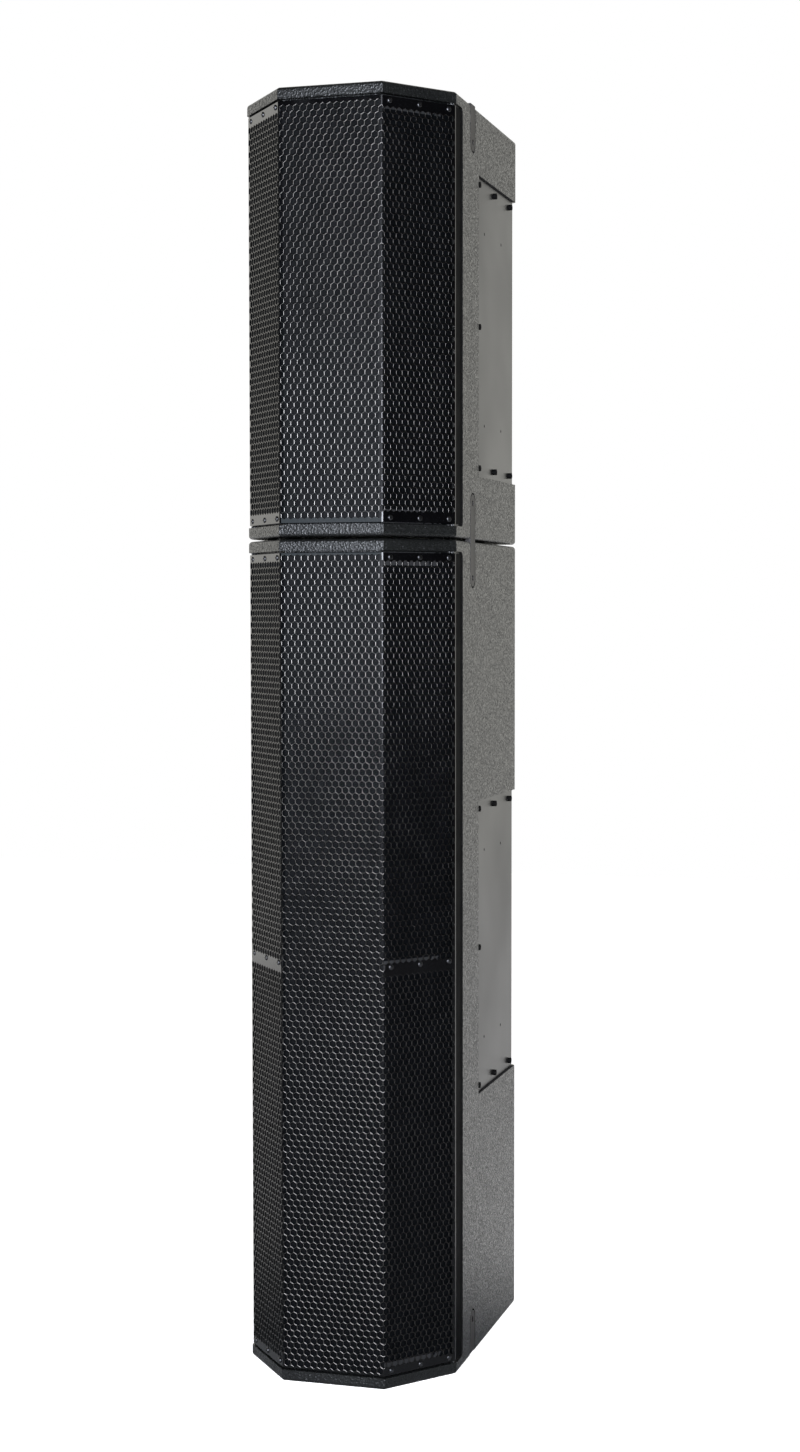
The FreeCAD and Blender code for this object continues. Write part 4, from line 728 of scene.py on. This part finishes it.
def contact_pins(name, middle, turns, ring, deep, tip, width, thick):
    """Contacts on a ring in a socket, each with a bevelled tip."""
    pins = bmesh.new()
    for turn in turns:
        angle = math.radians(turn)
        out = Vector((math.cos(angle), 0, math.sin(angle)))
        aside = Vector((-out.z, 0, out.x))
        rows = []
        narrow = [(tip - short, share) for short, share in TIP_NARROW]
        for y, share in [(deep, 1), (tip - TIP_START, 1)] + narrow:
            row = []
            for i in range(CONTACT_SIDES):
                spin = 2 * math.pi * i / CONTACT_SIDES
                spot = middle + out * (ring + share * thick / 2 * math.cos(spin))
                spot = spot + aside * share * width / 2 * math.sin(spin)
                row.append(pins.verts.new((spot.x, y, spot.z)))
            rows.append(row)
        for low_row, high_row in zip(rows, rows[1:]):
            for i in range(CONTACT_SIDES):
                pins.faces.new((low_row[i - 1], low_row[i], high_row[i], high_row[i - 1])).smooth = True
        pins.faces.new(rows[0])
        pins.faces.new(rows[-1])
    bmesh.ops.recalc_face_normals(pins, faces=pins.faces[:])
    return piece(name, pins, contact)


for module in MODULES:
    tray_low, tray_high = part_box(f"{module}_connector_tray")
    level = (tray_low.z + tray_high.z) / 2
    dial_x, rocker_x = CONTROL_PITCH / 2, -CONTROL_PITCH / 2

    floor_spot, floor_out = surface(f"{module}_connector_tray", dial_x - DIAL_CLEAR, level - DIAL_CLEAR)
    dial = Vector((dial_x, floor_spot.y, level))
    marks = []
    for step in range(DIAL_STEPS + 1):
        angle = DIAL_SWEEP * (step / DIAL_STEPS - 0.5)
        start, end = DIAL_MARK
        if step % (DIAL_STEPS // 2) == 0:
            end = DIAL_LONG_END
        marks.append(bar_outline(angle, start, end, DIAL_MARK_WIDTH))
    raised_marks(f"{module}_dial_scale", marks, dial, floor_out, ink, "column")
    for figure, turn in FIGURES:
        text = bpy.data.curves.new(f"{module}_dial_figure_{figure}", "FONT")
        text.body = figure
        text.size = FIGURE_SIZE
        text.extrude = INK_T
        text.align_x = text.align_y = "CENTER"
        text.materials.append(ink)
        made = bpy.data.objects.new(f"{module}_dial_figure_{figure}", text)
        bpy.context.scene.collection.objects.link(made)
        aim = math.radians(turn)
        made.location = dial + FIGURE_RING * Vector((-math.sin(aim), 0, math.cos(aim)))
        made.rotation_euler = (math.pi / 2, 0, math.pi)
        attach(made, "column")

    knob_spot, knob_out = surface(f"{module}_level_knob", dial_x + KNOB_PROBE, level)
    raised_marks(
        f"{module}_knob_line", [bar_outline(0, *KNOB_LINE, KNOB_LINE_WIDTH)],
        Vector((dial_x, knob_spot.y, level)), knob_out, ink, f"{module}_knob",
    )
    for state, rise, outlines in (
        ("on", ROCKER_MARK_RISE, [bar_outline(0, -ON_REACH, ON_REACH, ON_WIDTH)]),
        ("off", -ROCKER_MARK_RISE, ring_outlines(OFF_RADIUS, OFF_WIDTH)),
    ):
        spot, out = surface(f"{module}_power_rocker", rocker_x, level + rise)
        raised_marks(
            f"{module}_rocker_{state}_mark", outlines, spot, out, ink, f"{module}_rocker"
        )
    for kind, x, stands, across in SIGNAL_KINDS:
        bottom, _ = surface("signal_sockets", x, level)
        contact_pins(
            f"{module}_signal_{kind}_contacts", Vector((x, 0, level)), SIGNAL_TURNS, SIGNAL_RING,
            bottom.y - SIGNAL_DEEP, bottom.y + stands, across, across,
        )
    for kind, x in MAINS_KINDS:
        bottom, _ = surface("mains_sockets", x + MAINS_PROBE, level)
        contact_pins(
            f"{module}_mains_{kind}_contacts", Vector((x, 0, level)), MAINS_TURNS, MAINS_RING,
            bottom.y - MAINS_DEEP, bottom.y + MAINS_STANDS, BLADE_WIDTH, BLADE_T,
        )


# ---------------------------------------------------------------- room


# Tints of the softboxes' light.
COOL, SHADE, WARM = "eef3ff", "d4e6f4", "fffdf8"
# Name, place, target and size in m, power in W, tint. The key is the wide bright band that the hole edges
# mirror, dimmer above; the fill keeps the left chamfer grey, and the rims draw both sides on the backdrop.
SOFTBOXES = (
    ("key_softbox", (0.81, -3.61, 1.3), (0, 0, 1.2), (2.75, 1.0), 262, COOL),
    ("key_softbox_above", (0.81, -3.55, 2.15), (0, 0, 1.5), (2.75, 0.6), 50, COOL),
    ("fill_softbox", (-1.05, -3.2, 1.3), (0, 0, 1.2), (0.9, 1.0), 8.5, SHADE),
    ("rim_softbox_right", (1.91, 2.44, 1.05), (0, 0, 1.0), (0.38, 1.9), 3, WARM),
    ("rim_softbox_left", (-2.75, 1.4, 1.5), (0, 0, 1.2), (1.3, 2.8), 9, WARM),
)
BACKDROP_SEEN, BACKDROP_MIRRORED = "ffffff", "fefdf6"    # to the eye, and in the paint's gloss
BACKDROP_EDGES = (0.3, 0.8)   # share of a ray's way along TO_BACKDROP where the backdrop starts and is full
STUDIO_GLOW = (0.04, 0.35)    # strength of the walls' own light, beside the column and at the backdrop
FLOOR_SEEN, FLOOR_BOUNCE = "f8f8f8", "b4b4b2"    # to the eye, and to the light that it throws back
FLOOR_GLOW = "fffefc"
FLOOR_GLOW_STRENGTH = 0.9
FLOOR_MIRRORED_EDGES = (0.0, 0.45)    # in m behind the column's middle, where the floor starts to be mirrored
FLOOR_DROP = 0.2 * MM         # the floor lies this far below the column
FLOOR_REACH = 6               # in m, from its middle to its sides
FLOOR_CELLS = 24              # squares of its mesh along each side


def area_light(name, place, target, size, power, tint):
    """A softbox at a place, turned to a target."""
    lamp = bpy.data.lights.new(name, "AREA")
    lamp.shape = "RECTANGLE"
    lamp.size, lamp.size_y = size
    lamp.energy = power
    lamp.color = hexed(tint)[:3]
    made = bpy.data.objects.new(name, lamp)
    bpy.context.scene.collection.objects.link(made)
    made.location = place
    made.rotation_euler = (Vector(target) - Vector(place)).to_track_quat("-Z", "Y").to_euler()


for softbox in SOFTBOXES:
    area_light(*softbox)

world = bpy.data.worlds.new("studio")
bpy.context.scene.world = world
world.use_nodes = True
sky = world.node_tree
# The backdrop stands behind the column; the studio in front of it is dark but for the lamps.
way = add(sky, "ShaderNodeTexCoord").outputs["Generated"]
behind = add(
    sky, "ShaderNodeVectorMath", {0: way, 1: TO_BACKDROP}, operation="DOT_PRODUCT"
).outputs["Value"]
glow = add(
    sky, "ShaderNodeMapRange",
    {"Value": behind, "From Min": 0.0, "From Max": 1.0, "To Min": STUDIO_GLOW[0], "To Max": STUDIO_GLOW[1]},
).outputs[0]
backdrop_start, backdrop_full = BACKDROP_EDGES
backdrop = add(
    sky, "ShaderNodeMapRange",
    {"Value": behind, "From Min": backdrop_start, "From Max": backdrop_full, "To Min": 0.0, "To Max": 1.0},
).outputs[0]
rays = add(sky, "ShaderNodeLightPath").outputs
mirrored = add(
    sky, "ShaderNodeMath", {0: rays["Is Glossy Ray"], 1: backdrop}, operation="MULTIPLY"
).outputs[0]
seen = add(
    sky, "ShaderNodeMath", {0: rays["Is Camera Ray"], 1: rays["Is Transmission Ray"]}, operation="MAXIMUM"
).outputs[0]
white = add(sky, "ShaderNodeMath", {0: seen, 1: mirrored}, operation="MAXIMUM").outputs[0]
strength = add(sky, "ShaderNodeMix", {0: white, 2: glow, 3: 1.0}, data_type="FLOAT")
tint = add(
    sky, "ShaderNodeMix",
    {0: rays["Is Glossy Ray"], 6: hexed(BACKDROP_SEEN), 7: hexed(BACKDROP_MIRRORED)}, data_type="RGBA",
)
sky.links.new(tint.outputs[2], sky.nodes["Background"].inputs["Color"])
sky.links.new(strength.outputs[0], sky.nodes["Background"].inputs["Strength"])

# Matt white floor: white to the eye, and it still takes the column's shadow.
ground = bmesh.new()
bmesh.ops.create_grid(ground, x_segments=FLOOR_CELLS, y_segments=FLOOR_CELLS, size=FLOOR_REACH)
floor_data = bpy.data.meshes.new("floor")
ground.to_mesh(floor_data)
ground.free()
floor_piece = bpy.data.objects.new("floor", floor_data)
bpy.context.scene.collection.objects.link(floor_piece)
floor_piece.location.z = cad_box[0].z - FLOOR_DROP
floor_paint, floor_tree, floor_shader, floor_place = material("matt_white_floor", 0.9)
floor_rays = add(floor_tree, "ShaderNodeLightPath").outputs
from_column = add(
    floor_tree, "ShaderNodeVectorMath", {0: floor_place, 1: TO_BACKDROP}, operation="DOT_PRODUCT"
).outputs["Value"]
floor_start, floor_full = FLOOR_MIRRORED_EDGES
floor_behind = add(
    floor_tree, "ShaderNodeMapRange",
    {"Value": from_column, "From Min": floor_start, "From Max": floor_full, "To Max": 1.0},
).outputs[0]
floor_mirrored = add(
    floor_tree, "ShaderNodeMath", {0: floor_rays["Is Glossy Ray"], 1: floor_behind}, operation="MULTIPLY"
).outputs[0]
floor_seen = add(
    floor_tree, "ShaderNodeMath", {0: floor_rays["Is Camera Ray"], 1: floor_mirrored}, operation="MAXIMUM"
).outputs[0]
# The eye sees clean paint, and the column is lit by a duller one, as if the light fell off over a wide room.
floor_shade = add(
    floor_tree, "ShaderNodeMix",
    {0: floor_rays["Is Camera Ray"], 6: hexed(FLOOR_BOUNCE), 7: hexed(FLOOR_SEEN)}, data_type="RGBA",
)
floor_tree.links.new(floor_shade.outputs[2], floor_shader.inputs["Base Color"])
floor_shader.inputs["Emission Color"].default_value = hexed(FLOOR_GLOW)
lit = add(floor_tree, "ShaderNodeMath", {0: floor_seen, 1: FLOOR_GLOW_STRENGTH}, operation="MULTIPLY")
floor_tree.links.new(lit.outputs[0], floor_shader.inputs["Emission Strength"])
floor_data.materials.append(floor_paint)


# ---------------------------------------------------------------- camera


CAMERA_PLACE = (0.9592, -3.2190, 1.0597)
CAMERA_ANGLES = (-16.064, -2.756, -0.072)    # yaw, pitch and roll in degrees, from looking along +Y
SENSOR_WIDTH = 36             # in mm
FOCAL_LENGTH = 57.487         # in mm
NEAREST = 0.05                # in m, how near the camera still sees

yaw, pitch, roll = (math.radians(angle) for angle in CAMERA_ANGLES)
ahead = Vector((math.sin(yaw) * math.cos(pitch), math.cos(yaw) * math.cos(pitch), math.sin(pitch)))
across = Vector((math.cos(yaw), -math.sin(yaw), 0))
upward = across.cross(ahead)
view_right = math.cos(roll) * across + math.sin(roll) * upward
view_up = -math.sin(roll) * across + math.cos(roll) * upward
lens = bpy.data.cameras.new("camera")
lens.sensor_width = SENSOR_WIDTH
lens.lens = FOCAL_LENGTH
lens.clip_start = NEAREST
camera = bpy.data.objects.new("camera", lens)
bpy.context.scene.collection.objects.link(camera)
axes = Matrix((view_right, view_up, -ahead)).transposed()
camera.matrix_world = Matrix.Translation(CAMERA_PLACE) @ axes.to_4x4()
bpy.context.scene.camera = camera

bpy.context.scene.view_settings.view_transform = "Standard"
